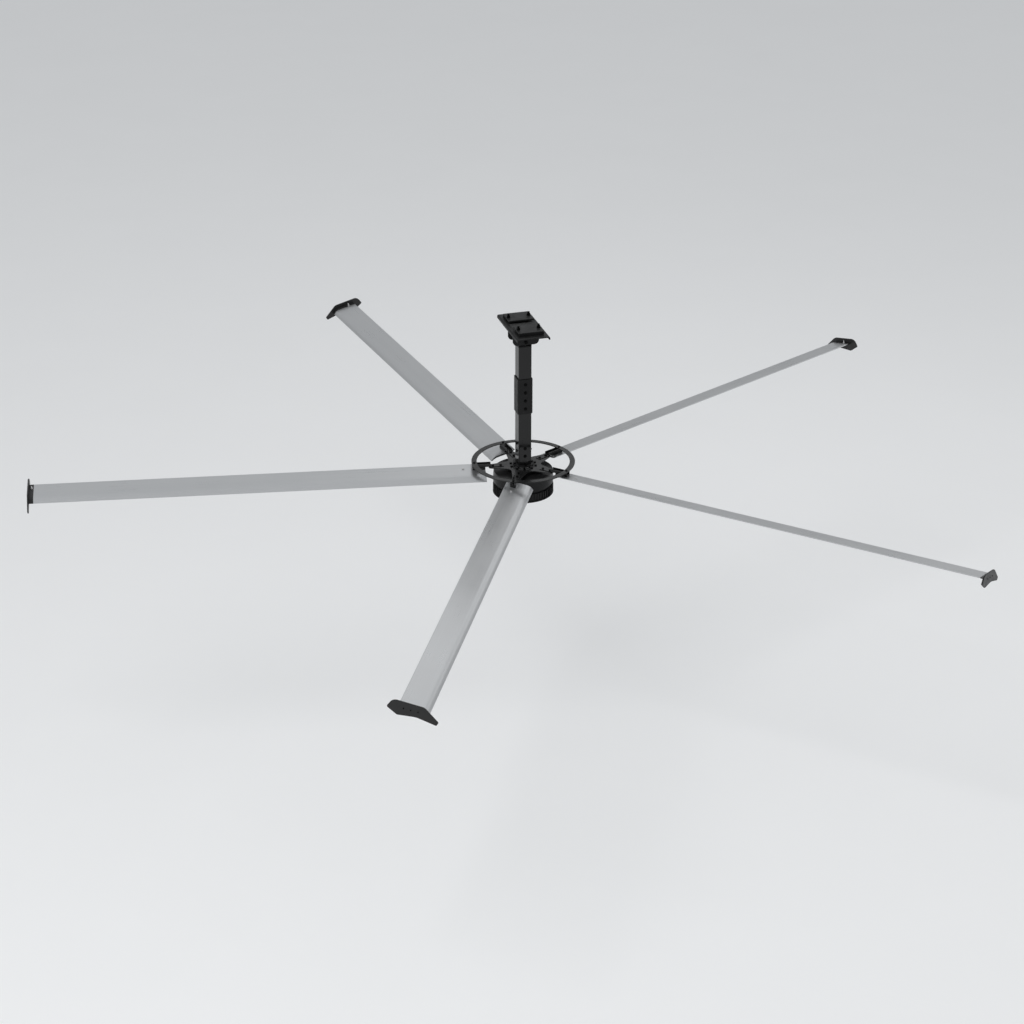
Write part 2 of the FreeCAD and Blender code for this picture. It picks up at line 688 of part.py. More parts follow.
def make_drop_tube():
    level = "-dims.blade_drop"
    half = "dims.tube_side / 2"
    tube = tube_outline(d.tube_side / 2, d.tube_wall, d.tube_corner)
    tube_bottom = "dims.land_rise + dims.spindle_gap + dims.spindle_flange + dims.foot_flange"
    tube_top = f"dims.blade_drop - dims.pivot_drop - {d.head_gap} - dims.head_plate"

    upper = new_body("upper_tube", level)
    pad(upper, "tube", "XY_Plane", tube, f"{tube_top} - dims.joint_rise - dims.joint_gap / 2",
        "dims.joint_rise + dims.joint_gap / 2")
    upper_rows = [height for height in COUPLER_ROWS if height > d.joint_rise]
    side_holes(upper, "coupler_holes", "XZ_Plane", upper_rows, half)
    gland_hole = [hole(0, TUBE_TOP - d.gland_drop, d.gland_radius + d.fit_gap)]
    pocket(upper, "gland_hole", "XZ_Plane", gland_hole, "2 * dims.tube_wall",
           f"2 * dims.tube_wall - {half}")

    lower = new_body("lower_tube", level)
    pad(lower, "tube", "XY_Plane", tube,
        f"dims.joint_rise - dims.joint_gap / 2 - ({tube_bottom})", tube_bottom)
    lower_rows = [height for height in COUPLER_ROWS if height < d.joint_rise]
    side_holes(lower, "front_holes", "XZ_Plane", lower_rows + FRONT_ROWS, half)
    side_holes(lower, "left_holes", "YZ_Plane", SIDE_ROWS, half)

    sleeve = new_body("tube_coupler", level)
    reach = "dims.tube_side / 2 + dims.plug_gap + dims.coupler_wall"
    pad(sleeve, "sleeve", "XY_Plane",
        tube_outline(COUPLER_HALF, d.coupler_wall, d.tube_corner + d.coupler_wall),
        f"{d.coupler_length}", f"dims.joint_rise - {d.coupler_length / 2}")
    side_holes(sleeve, "bolt_holes", "XZ_Plane", COUPLER_ROWS, reach)

    foot = new_body("tube_foot", level)
    spigot = d.tube_side / 2 - d.tube_wall - d.plug_gap
    flange = [hole(0, 0, d.foot_radius), hole(0, 0, d.cable_bore)]
    for angle in even_angles(d.foot_bolt_count):
        x = d.foot_circle * math.cos(math.radians(angle))
        y = d.foot_circle * math.sin(math.radians(angle))
        flange.append(hole(x, y, d.tube_bolt_radius + d.hole_gap))
    pad(foot, "flange", "XY_Plane", flange, "dims.foot_flange", f"{tube_bottom} - dims.foot_flange")
    square = rectangle(spigot, spigot, d.tube_corner - d.tube_wall) + [hole(0, 0, d.cable_bore)]
    pad(foot, "spigot", "XY_Plane", square, f"{d.spigot_height}", tube_bottom)
    side_holes(foot, "front_holes", "XZ_Plane", FRONT_ROWS, half)
    side_holes(foot, "left_holes", "YZ_Plane", SIDE_ROWS, half)


def make_tube_fasteners():
    to_back = Rotation(UP, Vector(0, 1, 0))
    to_front = Rotation(UP, Vector(0, -1, 0))
    to_left = Rotation(UP, Vector(-1, 0, 0))
    to_right = Rotation(UP, Vector(1, 0, 0))
    half = d.tube_side / 2
    spare = d.tube_nut_height + d.tube_bolt_end

    def row_places(x, y, rows, turn):
        return [Placement(Vector(x, y, height - d.blade_drop), turn) for height in rows]

    long_bolt = frame_bolt(2 * COUPLER_HALF + spare)
    group("coupler_bolts", (row_places(0, -COUPLER_HALF, COUPLER_ROWS, to_front), long_bolt))
    heads = row_places(0, -half, FRONT_ROWS, to_front) + row_places(-half, 0, SIDE_ROWS, to_left)
    group("foot_cross_bolts", (heads, frame_bolt(d.tube_side + spare)))
    nuts = row_places(0, COUPLER_HALF, COUPLER_ROWS, to_back)
    nuts += row_places(0, half, FRONT_ROWS, to_back) + row_places(half, 0, SIDE_ROWS, to_right)
    group("tube_nuts", (nuts, hex_nut(d.tube_bolt_radius, d.tube_bolt_flats, d.tube_nut_height)))

    places = circle_places(even_angles(d.foot_bolt_count), d.foot_circle, TUBE_BOTTOM)
    group("foot_bolts", (places, frame_bolt(d.foot_flange + d.foot_bolt_grip)))

    inside = 2 * d.tube_wall
    stem = Part.makeCylinder(d.gland_radius, inside, Vector(0, 0, -inside))
    dome = Part.makeCone(d.bolt_crown * d.gland_flats / 2, d.gland_bore + d.gland_lip, d.gland_dome,
                         Vector(0, 0, d.gland_collar))
    bore = Part.makeCylinder(d.gland_bore, inside + d.gland_collar + d.gland_dome, Vector(0, 0, -inside))
    gland = hex_prism(d.gland_flats, d.gland_collar).fuse([stem, dome]).cut(bore)
    group("cable_gland", (row_places(0, half, [TUBE_TOP - d.gland_drop], to_back), gland))


# Motor: fixed spindle with the stator, and the turning drum, casing and cover

def make_spindle():
    flange = cylinder("spindle_disc", f"{d.foot_radius}", "dims.spindle_flange",
                      hub("dims.land_rise + dims.spindle_gap"))
    length = SPINDLE_TOP - SPINDLE_END
    shaft = cylinder("spindle_shaft", "dims.bearing_bore", f"{length}", hub(f"{SPINDLE_END}"))
    bore = cylinder("spindle_bore", "dims.cable_bore", f"{length}", hub(f"{SPINDLE_END}"))
    places = circle_places(even_angles(d.foot_bolt_count), d.foot_circle, SPINDLE_TOP)
    threads = drill("spindle_threads", places, d.tube_bolt_radius + d.fit_gap, d.foot_bolt_grip)
    solid = cut("spindle_bored", fuse("spindle_blank", flange, shaft), bore)
    subpart(cut("motor_spindle", solid, threads), "motor_spindle")

    nut = hex_nut(d.bearing_bore, d.locknut_flats, d.locknut_height)
    group("spindle_locknut", (circle_places([0], 0, LOWER_BEARING - d.locknut_height), nut))


def make_stator():
    bottom = hub(f"{STATOR_MIDDLE - d.stator_hub_width / 2}")
    width = "dims.stator_hub_width"
    disc = cylinder("stator_disc", f"{d.stator_bore} - dims.fit_gap", width, bottom)
    bore = cylinder("stator_hub_bore", "dims.bearing_bore + dims.fit_gap", width, bottom)
    subpart(cut("stator_hub", disc, bore), "stator_hub")

    core = new_body("stator_core", hub(f"{STATOR_MIDDLE}"))
    pad(core, "yoke", "XY_Plane", [hole(0, 0, d.stator_yoke), hole(0, 0, d.stator_bore)],
        "dims.stack_height", "-dims.stack_height / 2")
    half = d.tooth_width / 2
    root = math.sqrt(d.stator_yoke ** 2 - half ** 2) - half
    tip = math.sqrt(d.stator_radius ** 2 - half ** 2)
    profile = [
        line((root, -half), (tip, -half)),
        arc((tip, -half), (d.stator_radius, 0), (tip, half)),
        line((tip, half), (root, half)),
        line((root, half), (root, -half)),
    ]
    tooth = pad(core, "tooth", "XY_Plane", profile, "dims.stack_height", "-dims.stack_height / 2")
    polar(core, tooth, "dims.slot_count")

    slot = d.tooth_width + 2 * d.side_gap
    opening = d.stack_height + 2 * d.side_gap
    depth = d.coil_outer - d.coil_inner
    wide = 2 * d.coil_inner * math.tan(math.pi / d.slot_count) - d.coil_gap
    tall = opening + 2 * d.coil_overhang
    ring = Part.makeBox(depth, wide, tall, Vector(-depth / 2, -wide / 2, -tall / 2))
    ring = ring.cut(Part.makeBox(depth, slot, opening, Vector(-depth / 2, -slot / 2, -opening / 2)))
    middle = (d.coil_inner + d.coil_outer) / 2
    group("stator_windings", (circle_places(even_angles(d.slot_count), middle, STATOR_MIDDLE), ring))


def polar(body, feature, count):
    """Repeat a feature about the body's vertical axis."""
    pattern = body.newObject("PartDesign::PolarPattern", f"{feature.Name}_pattern")
    pattern.Originals = [feature]
    axis = next(item for item in body.Origin.OriginFeatures if item.Role == "Z_Axis")
    pattern.Axis = (axis, [""])
    pattern.Angle = 360
    bind(pattern, Occurrences=count)
    body.Tip = pattern
    return pattern


def make_bearings():
    floors = [UPPER_BEARING, LOWER_BEARING]
    middle = d.bearing_width / 2
    groove = Part.makeTorus(BALL_CIRCLE, d.ball_radius + d.race_gap, Vector(0, 0, middle))

    def ring(inner, outer):
        shell = Part.makeCylinder(outer, d.bearing_width).cut(Part.makeCylinder(inner, d.bearing_width))
        return shell.cut(groove)

    places = [circle_places([0], 0, floor)[0] for floor in floors]
    group("bearing_inner_rings", (places, ring(d.bearing_bore + d.fit_gap, BALL_CIRCLE - d.race_half)))
    group("bearing_outer_rings", (places, ring(BALL_CIRCLE + d.race_half, d.bearing_outer)))
    balls = []
    for floor in floors:
        balls += circle_places(even_angles(d.ball_count), BALL_CIRCLE, floor + middle)
    group("bearing_balls", (balls, Part.makeSphere(d.ball_radius)))

    seal = Part.makeCylinder(d.seal_radius - d.fit_gap, d.seal_width)
    seal = seal.cut(Part.makeCylinder(d.bearing_bore + d.running_gap, d.seal_width))
    group("shaft_seal", (circle_places([0], 0, STAR_BOTTOM - d.seal_inset - d.seal_width), seal))


def make_top_cover():
    drum = doc.addObject("Part::Cone", "drum")
    bind(drum, Radius1=f"{d.drum_radius}", Radius2=f"{d.drum_radius_top}", Height="dims.drum_height",
         Placement__Base__z=hub(f"{CASING_TOP}"))
    cavity = cylinder("drum_cavity", f"{d.drum_inner}", "dims.drum_height - dims.drum_plate",
                      hub(f"{CASING_TOP}"))
    boss = cylinder("drum_boss", f"{d.boss_radius}", "dims.boss_height + dims.drum_plate",
                    hub(f"{DRUM_TOP - d.drum_plate}"))
    seat_floor = UPPER_BEARING - d.bearing_lip
    seat = cylinder("upper_bearing_seat", f"{d.bearing_hub}", f"{DRUM_TOP - seat_floor}",
                    hub(f"{seat_floor}"))
    bore = cylinder("upper_bearing_bore", f"{d.bearing_outer} + dims.fit_gap",
                    "dims.bearing_width + dims.bearing_lip", hub(f"{seat_floor}"))
    throat = cylinder("seal_bore", f"{d.seal_radius}", f"{STAR_BOTTOM - seat_floor}", hub(f"{seat_floor}"))
    thread_end = CASING_TOP + d.casing_screw_grip
    places = circle_places(even_angles(d.screw_count), d.casing_screw_circle, thread_end)
    screws = drill("casing_threads", places, d.screw_radius + d.fit_gap, d.casing_screw_grip)
    places = circle_places(star_bolt_angles(), d.star_bolt_circle, STAR_BOTTOM)
    bolts = drill("star_threads", places, d.tube_bolt_radius + d.fit_gap, d.star_bolt_grip)
    shell = fuse("drum_shell", cut("drum_hollow", drum, cavity), boss, seat)
    subpart(cut("top_cover", shell, fuse("drum_holes", bore, throat, screws, bolts)), "top_cover")


def star_bolt_angles():
    """The star plate's bolts stand in the middles between the arms and beside them."""
    return even_angles(d.star_bolt_count, d.blade_phase + 180 / d.star_bolt_count)


def make_casing():
    casing = new_body("rotor_casing", "-dims.blade_drop")
    feature = casing.newObject("PartDesign::Revolution", "casing_turning")
    seat = CASING_BOTTOM + d.cover_plate
    rim = d.drum_radius
    profile = outline([
        (d.casing_bore, CASING_TOP, 0),
        (d.flange_radius, CASING_TOP, 0),
        (d.flange_radius, CASING_TOP - d.casing_flange, 0),
        (d.recess_radius, CASING_TOP - d.casing_flange, 0),
        (d.recess_radius, FIN_TOP, 0),
        (d.fin_root, FIN_TOP, 0),
        (d.fin_root, CASING_BOTTOM + d.rim_height, 0),
        (rim, CASING_BOTTOM + d.rim_height, d.rim_corner),
        (rim, CASING_BOTTOM, d.rim_corner),
        (d.cover_radius + d.fit_gap, CASING_BOTTOM, 0),
        (d.cover_radius + d.fit_gap, seat, 0),
        (d.casing_bore, seat, 0),
    ])
    drawing = sketch(casing, "turning", "XZ_Plane", profile, "0")
    feature.Profile = drawing
    feature.ReferenceAxis = (drawing, ["V_Axis"])
    feature.Angle = 360
    half = d.fin_thickness / 2
    edge = rim - d.fin_inset
    fin = outline([
        (d.fin_root - d.fin_sink, -half, 0), (edge, -half, d.fin_rounding),
        (edge, half, d.fin_rounding), (d.fin_root - d.fin_sink, half, 0),
    ])
    blade = pad(casing, "fin", "XY_Plane", fin, "dims.fin_height - dims.rim_height / 2",
                f"{CASING_BOTTOM} + dims.rim_height / 2")
    polar(casing, blade, "dims.fin_count")
    screw = d.screw_radius + d.hole_gap
    holes = [
        hole(place.Base.x, place.Base.y, screw)
        for place in circle_places(even_angles(d.screw_count), d.casing_screw_circle, 0)
    ]
    pocket(casing, "screw_holes", "XY_Plane", holes, "dims.casing_flange", f"{CASING_TOP}")
    threads = [
        hole(place.Base.x, place.Base.y, d.screw_radius + d.fit_gap)
        for place in circle_places(even_angles(d.screw_count), d.cover_screw_circle, 0)
    ]
    pocket(casing, "cover_threads", "XY_Plane", threads, "dims.cover_screw_grip",
           f"{seat} + dims.cover_screw_grip")


def make_casing_fasteners():
    screw = round_screw(d.screw_radius, d.casing_flange + d.casing_screw_grip,
                        d.screw_head_radius, d.screw_head_height)
    places = circle_places(even_angles(d.screw_count), d.casing_screw_circle,
                           CASING_TOP - d.casing_flange, Vector(0, 0, -1))
    group("casing_screws", (places, screw))
    screw = round_screw(d.screw_radius, d.cover_plate + d.cover_screw_grip,
                        d.screw_head_radius, d.screw_head_height)
    places = circle_places(even_angles(d.screw_count), d.cover_screw_circle,
                           CASING_BOTTOM, Vector(0, 0, -1))
    group("bottom_cover_screws", (places, screw))


def make_bottom_cover():
    floor = CASING_BOTTOM + d.cover_plate
    bottom = hub(f"{CASING_BOTTOM}")
    disc = cylinder("cover_disc", f"{d.cover_radius}", "dims.cover_plate", bottom)
    post = cylinder("cover_post", f"{d.bearing_hub}", f"{LOWER_SEAT_TOP - CASING_BOTTOM}", bottom)
    seat = cylinder("lower_bearing_bore", f"{d.bearing_outer} + dims.fit_gap",
                    f"{LOWER_SEAT_TOP - LOWER_BEARING}", hub(f"{LOWER_BEARING}"))
    room = cylinder("locknut_room", f"{d.locknut_space}", f"{LOWER_SEAT_TOP - floor}", hub(f"{floor}"))
    places = circle_places(even_angles(d.screw_count), d.cover_screw_circle, floor)
    screws = drill("cover_screw_holes", places, d.screw_radius + d.hole_gap, d.cover_plate)
    blank = fuse("cover_blank", disc, post)
    subpart(cut("bottom_cover", blank, fuse("cover_holes", seat, room, screws)), "bottom_cover")


def make_magnets():
    half = math.radians(180 / d.magnet_count * d.magnet_share)
    inner = d.magnet_inner
    outer = d.casing_bore - d.fit_gap

    def at(radius, angle):
        return Vector(radius * math.cos(angle), radius * math.sin(angle), 0)

    edges = [
        Part.Arc(at(inner, -half), at(inner, 0), at(inner, half)).toShape(),
        Part.LineSegment(at(inner, half), at(outer, half)).toShape(),
        Part.Arc(at(outer, half), at(outer, 0), at(outer, -half)).toShape(),
        Part.LineSegment(at(outer, -half), at(inner, -half)).toShape(),
    ]
    magnet = Part.Face(Part.Wire(edges)).extrude(Vector(0, 0, d.stack_height))
    floor = STATOR_MIDDLE - d.stack_height / 2
    group("rotor_magnets", (circle_places(even_angles(d.magnet_count), 0, floor), magnet))


# Hub: star plate, struts, safety ring and their bolts

def make_star_plate():
    star = new_body("star_plate", "-dims.blade_drop")
    corners = []
    for angle in BLADE_ANGLES:
        turn = Rotation(UP, angle)
        for side in (-1, 1):
            tip = turn.multVec(Vector(d.star_reach, side * d.star_tip_width / 2, 0))
            corners.append((tip.x, tip.y, d.star_tip_corner))
        valley = Rotation(UP, angle + 180 / d.blade_count).multVec(Vector(d.star_valley, 0, 0))
        corners.append((valley.x, valley.y, d.star_valley_corner))
    profile = outline(corners) + [hole(0, 0, d.star_hole)]
    bolt_radius = d.tube_bolt_radius + d.hole_gap
    places = circle_places(star_bolt_angles(), d.star_bolt_circle, 0)
    for radius in (d.strut_bolt_inner, d.strut_bolt_outer):
        places += circle_places(BLADE_ANGLES, radius, 0)
    profile += [hole(place.Base.x, place.Base.y, bolt_radius) for place in places]
    pad(star, "plate", "XY_Plane", profile, "dims.star_thickness",
        "dims.land_rise - dims.star_thickness")


def make_struts():
    holes = [
        hole(radius, 0, d.tube_bolt_radius + d.hole_gap)
        for radius in (d.strut_bolt_inner, d.strut_bolt_outer)
    ]
    holes += [hole(radius, 0, d.blade_hole) for radius in BLADE_BOLT_RADII]
    tongue = rectangle(d.strut_bolt_outer + d.flange_step, d.strut_width, 0)
    for number, angle in enumerate(BLADE_ANGLES, start=1):
        strut = new_body(f"blade_strut_{number}", "dims.land_rise - dims.blade_drop", angle)
        profile = channel(d.strut_width, d.strut_height, d.strut_wall, d.strut_bend, 1)
        pad(strut, "fold", "YZ_Plane", profile, f"{d.strut_outer} - dims.strut_inner", "dims.strut_inner")
        pocket(strut, "tongue", "XY_Plane", tongue, "dims.strut_height - dims.strut_wall", "dims.strut_height")
        pocket(strut, "bolt_holes", "XY_Plane", holes, "dims.strut_wall", "dims.strut_wall")


def make_safety_ring():
    ring = new_body("safety_ring", "-dims.blade_drop")
    profile = [hole(0, 0, RING_MIDDLE + side * d.ring_width / 2) for side in (1, -1)]
    for place in circle_places(BLADE_ANGLES, RING_MIDDLE, 0):
        profile.append(hole(place.Base.x, place.Base.y, d.blade_hole))
    pad(ring, "annulus", "XY_Plane", profile, "dims.ring_thickness", "dims.land_rise + dims.strut_height")


def make_hub_fasteners():
    places = circle_places(star_bolt_angles(), d.star_bolt_circle, d.land_rise)
    group("star_bolts", (places, frame_bolt(d.star_thickness + d.star_bolt_grip)))

    web_top = d.land_rise + d.strut_wall
    places = circle_places(BLADE_ANGLES, d.strut_bolt_inner, web_top)
    places += circle_places(BLADE_ANGLES, d.strut_bolt_outer, web_top)
    group("strut_bolts", (places, frame_bolt(d.strut_wall + d.star_thickness + d.hub_bolt_end)))

    bar_bottom = d.blade_rise - (d.skin + d.nut_bar_thickness) / math.cos(PITCH)
    places = circle_places(BLADE_ANGLES, d.blade_bolt_inner, web_top)
    group(
        "blade_bolts",
        (places, blade_bolt(web_top - bar_bottom)),
        (pitched_places(LONE_BOLT), blade_bolt(d.skin + d.nut_bar_thickness)),
    )

    ring_top = d.land_rise + d.strut_height + d.ring_thickness
    places = circle_places(BLADE_ANGLES, RING_MIDDLE, ring_top)
    group("ring_bolts", (places, blade_bolt(ring_top - bar_bottom)))


# Blades: a hollow airfoil under a pitch wedge, with a nut bar inside, and the end plates.
# A place in the section is given along its flat top, with the trailing edge positive, and above it.

def pitched(along, above):
    """A place in the section as a point of the sketch plane, whose y is the rise."""
    return (
        along * math.cos(PITCH) + above * math.sin(PITCH),
        d.blade_rise - along * math.sin(PITCH) + above * math.cos(PITCH),
    )


def pitched_outline(corners):
    return outline([(*pitched(along, above), radius) for along, above, radius in corners])


def pitched_places(radius):
    """Placements on the blades' flat tops, square to them."""
    lean = Rotation(Vector(1, 0, 0), -d.blade_pitch)
    return [
        Placement(place.Base, place.Rotation.multiply(lean))
        for place in circle_places(BLADE_ANGLES, radius, d.blade_rise)
    ]


def make_pitch_wedges():
    half = d.wedge_width / 2
    fall = half * math.tan(PITCH)
    corners = [
        Vector(d.blade_root, -half, d.land_rise),
        Vector(d.blade_root, half, d.land_rise),
        Vector(d.blade_root, half, d.blade_rise - fall),
        Vector(d.blade_root, -half, d.blade_rise + fall),
    ]
    end = Part.Face(Part.makePolygon(corners + corners[:1]))
    wedge = end.extrude(Vector(d.strut_outer - d.blade_root, 0, 0))
    for radius in BLADE_BOLT_RADII:
        low = Vector(radius, 0, d.blade_rise - fall)
        wedge = wedge.cut(Part.makeCylinder(d.blade_hole, d.wedge_height + fall, low))
    group("pitch_wedges", (circle_places(BLADE_ANGLES, 0, 0), wedge))


def make_nut_bars():
    start = d.blade_bolt_inner - d.nut_bar_margin
    length = LONE_BOLT + d.nut_bar_margin - start
    bottom = -d.skin - d.nut_bar_thickness
    corner = Vector(start, -d.nut_bar_width / 2, bottom)
    bar = Part.makeBox(length, d.nut_bar_width, d.nut_bar_thickness, corner)
    thread = d.blade_bolt_radius + d.fit_gap
    bar = bar.cut(Part.makeCylinder(thread, d.nut_bar_thickness, Vector(LONE_BOLT, 0, bottom)))
    plumb = Vector(0, math.sin(PITCH), -math.cos(PITCH))
    for radius in BLADE_BOLT_RADII:
        depth = thread - bottom / math.cos(PITCH)
        bar = bar.cut(Part.makeCylinder(thread, depth, Vector(radius, 0, 0), plumb))
    group("blade_nut_bars", (pitched_places(0), bar))


LAND = d.wedge_width / 2
BELLY_START = -LAND - d.web
NOSE_RUN = BELLY_START + d.nose_reach - d.nose_radius
NOSE_LIFT = d.blade_depth - d.nose_radius
NOSE_SLOPE = math.acos(d.nose_radius / math.hypot(NOSE_RUN, NOSE_LIFT)) - math.atan2(NOSE_RUN, NOSE_LIFT)
NOSE_APEX = (BELLY_START - d.blade_depth / math.tan(NOSE_SLOPE), 0)
TURN = math.radians(d.tail_turn)
BEND_START = d.tail_knee - d.tail_bend * math.tan(TURN / 2)
TAIL_TOP = (d.tail_knee + d.tail_length * math.cos(TURN), -d.tail_length * math.sin(TURN))
TAIL_LOW = (
    TAIL_TOP[0] - d.tail_thickness * math.sin(TURN),
    TAIL_TOP[1] - d.tail_thickness * math.cos(TURN),
)
BELLY = (BELLY_START, -d.blade_depth)
ARCH = (d.arch_reach, -d.arch_depth)
LOWER_FACE = (NOSE_APEX, BELLY, ARCH, TAIL_LOW)


def blade_outline():
    return pitched_outline([
        (*NOSE_APEX, d.nose_radius), (*BELLY, d.belly_round), (*ARCH, d.arch_round),
        (*TAIL_LOW, 0), (*TAIL_TOP, 0), (d.tail_knee, 0, d.tail_bend),
    ])


def lower_face(along):
    """Height of the section's lower face, before its corners are rounded."""
    spans = zip(LOWER_FACE, LOWER_FACE[1:])
    (start, low), (end, high) = next(span for span in spans if along <= span[1][0])
    return low + (high - low) * (along - start) / (end - start)


def roof(along):
    """Underside of the top skin, which follows the bend's arc."""
    run = max(along - BEND_START, 0)
    return math.sqrt(d.tail_bend ** 2 - run ** 2) - d.tail_bend - d.skin


def cell(start, end):
    """A hollow from one web to the next, inside the skin."""
    high = [(along, roof(along)) for along in (start, BEND_START, end) if start <= along <= end]
    low = [
        (along, lower_face(along) + d.skin)
        for along in (end, d.arch_reach, start) if start <= along <= end
    ]
    return pitched_outline([(*corner, 0) for corner in high + low])


def blade_cells():
    return (
        cell(d.nose_solid - d.nose_reach, BELLY_START)
        + cell(-LAND, LAND)
        + cell(LAND + d.web, d.rear_web - d.web / 2)
        + cell(d.rear_web + d.web / 2, TAIL_TOP[0] - d.tail_solid)
    )


def web_places():
    """Middles of the three webs in the sketch plane, where the end plate's screws go in."""
    webs = (-LAND - d.web / 2, LAND + d.web / 2, d.rear_web)
    return [pitched(along, lower_face(along) / 2) for along in webs]


def make_blades():
    level = "-dims.blade_drop"
    length = f"dims.blade_tip - {d.blade_root}"
    bosses = [hole(x, z, d.end_screw_radius + d.boss_wall) for x, z in web_places()]
    threads = [hole(x, z, d.end_screw_radius + d.fit_gap) for x, z in web_places()]
    bolts = [hole(radius, 0, d.blade_hole) for radius in BLADE_BOLT_RADII]
    lone_bolt = [hole(LONE_BOLT, 0, d.blade_hole)]
    fall = d.blade_hole * math.tan(PITCH)
    skin_depth = d.skin / math.cos(PITCH) + 2 * fall
    for number, angle in enumerate(BLADE_ANGLES, start=1):
        blade = new_body(f"blade_{number}", level, angle)
        pad(blade, "section", "YZ_Plane", blade_outline() + blade_cells(), length, f"{d.blade_root}")
        pad(blade, "bosses", "YZ_Plane", bosses, length, f"{d.blade_root}")
        pocket(blade, "threads", "YZ_Plane", threads, "dims.end_screw_grip", "dims.blade_tip")
        pocket(blade, "bolt_holes", "XY_Plane", bolts, f"{skin_depth}", f"{d.blade_rise + fall}")
        pocket(blade, "lone_hole", "XY_Plane", lone_bolt, "dims.skin", f"{d.blade_rise}", -d.blade_pitch)


def plate_outline():
    return pitched_outline([
        (-d.plate_brow, d.plate_brow_rise, d.plate_brow_round),
        (-d.plate_nose, -d.plate_nose_drop, d.plate_nose_round),
        (-d.plate_chin, -d.plate_chin_drop, d.plate_chin_round),
        (d.plate_arch, -d.plate_arch_drop, d.plate_arch_round),
        (d.plate_heel, -d.plate_heel_drop, d.plate_tip_round),
        (d.plate_tail, -d.plate_tail_drop, d.plate_tip_round),
        (d.plate_knee, d.plate_knee_rise, d.plate_knee_round),
    ])


def make_end_plates():
    holes = [hole(x, z, d.end_screw_radius + d.hole_gap) for x, z in web_places()]
    reach = d.collar_length + d.plate_thickness
    for number, angle in enumerate(BLADE_ANGLES, start=1):
        plate = new_body(f"end_plate_{number}", "-dims.blade_drop", angle)
        solid = pad(plate, "plate", "YZ_Plane", plate_outline(), "dims.plate_thickness",
                    "dims.blade_tip + dims.collar_length")
        doc.recompute()
        rim = [
            f"Edge{k}" for k, edge in enumerate(solid.Shape.Edges, start=1)
            if all(abs(point.X - d.blade_tip - reach) < 1e-6 for point in edge.Vertexes)
        ]
        rounding = plate.newObject("PartDesign::Fillet", f"{plate.Name}_rounding")
        rounding.Base = (solid, rim)
        bind(rounding, Radius="dims.plate_edge")
        pad(plate, "collar", "YZ_Plane", blade_outline(), "dims.collar_length", "dims.blade_tip")
        pocket(plate, "screw_holes", "YZ_Plane", holes, f"{reach}", f"dims.blade_tip + {reach}")
    screw = round_screw(d.end_screw_radius, reach + d.end_screw_grip, d.end_screw_head, d.end_screw_height)
    places = []
    for angle in BLADE_ANGLES:
        turn = Rotation(UP, angle)
        for x, z in web_places():
            seat = turn.multVec(Vector(d.blade_tip + reach, x, z - d.blade_drop))
            places.append(Placement(seat, turn.multiply(Rotation(UP, Vector(1, 0, 0)))))
    group("end_plate_screws", (places, screw))


make_beam_clamp()
make_pivot_head()
make_drop_tube()
make_tube_fasteners()
make_spindle()
make_stator()
make_bearings()
make_top_cover()
make_casing()
make_casing_fasteners()
make_bottom_cover()
make_magnets()
make_star_plate()
make_struts()
make_safety_ring()
make_hub_fasteners()
make_pitch_wedges()
make_nut_bars()
make_blades()
make_end_plates()
doc.recompute()

for item in doc.Objects:
    if "Invalid" in item.State or "Error" in item.State:
        raise ValueError(f"{item.Name} failed: {item.State}")
for item in subparts:
    if item.Shape.isNull() or not item.Shape.isValid() or not item.Shape.Solids:
        raise ValueError(f"{item.Label} has no valid solid")

os.makedirs("parts", exist_ok=True)
for item in subparts:
    item.Shape.exportStep(f"parts/{item.Label}.step")
    print(item.Label, len(item.Shape.Solids), round(item.Shape.Volume / 1000, 1), "cm3")
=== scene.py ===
import json
import math

import bmesh
import bpy
from mathutils import Matrix, Vector
from mathutils.bvhtree import BVHTree


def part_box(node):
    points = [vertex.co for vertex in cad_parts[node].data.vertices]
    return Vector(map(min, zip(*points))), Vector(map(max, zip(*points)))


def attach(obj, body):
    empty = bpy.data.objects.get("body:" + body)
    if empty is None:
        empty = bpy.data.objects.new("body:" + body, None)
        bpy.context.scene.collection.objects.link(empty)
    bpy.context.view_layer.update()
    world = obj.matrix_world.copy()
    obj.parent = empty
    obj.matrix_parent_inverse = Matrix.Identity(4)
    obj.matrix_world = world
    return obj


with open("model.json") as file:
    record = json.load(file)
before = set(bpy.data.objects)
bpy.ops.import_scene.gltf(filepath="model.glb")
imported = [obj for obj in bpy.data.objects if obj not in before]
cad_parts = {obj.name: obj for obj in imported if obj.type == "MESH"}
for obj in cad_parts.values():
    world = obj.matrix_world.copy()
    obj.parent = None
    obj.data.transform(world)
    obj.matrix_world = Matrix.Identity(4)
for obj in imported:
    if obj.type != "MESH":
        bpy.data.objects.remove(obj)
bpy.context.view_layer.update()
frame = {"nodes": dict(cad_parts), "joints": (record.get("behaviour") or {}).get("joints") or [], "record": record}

cad = frame["nodes"]
scene = bpy.context.scene

# Places and directions, read from the frame. Lengths are metres.
HUB = Vector(next(joint["pos_m"] for joint in frame["joints"] if joint["name"] == "fan_spin"))
BLADES = range(1, 1 + sum(name.startswith("blade_strut_") for name in cad))
MILLIMETRE = 0.001
UP = Vector((0, 0, 1))


def blade_angle(number):
    """Direction of a blade about the hub, from the middle of its strut."""
    low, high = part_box(f"blade_strut_{number}")
    return math.atan2(low.y + high.y, low.x + high.x)


# Materials

DUST_SLOPE = (0.75, 1.0)  # upward share of the normal where dust starts, and where it is full
MIX_FIRST, MIX_SECOND, MIX_RESULT = 6, 7, 2  # colour sockets of a Mix node
MOULD_GRAIN = 420.0


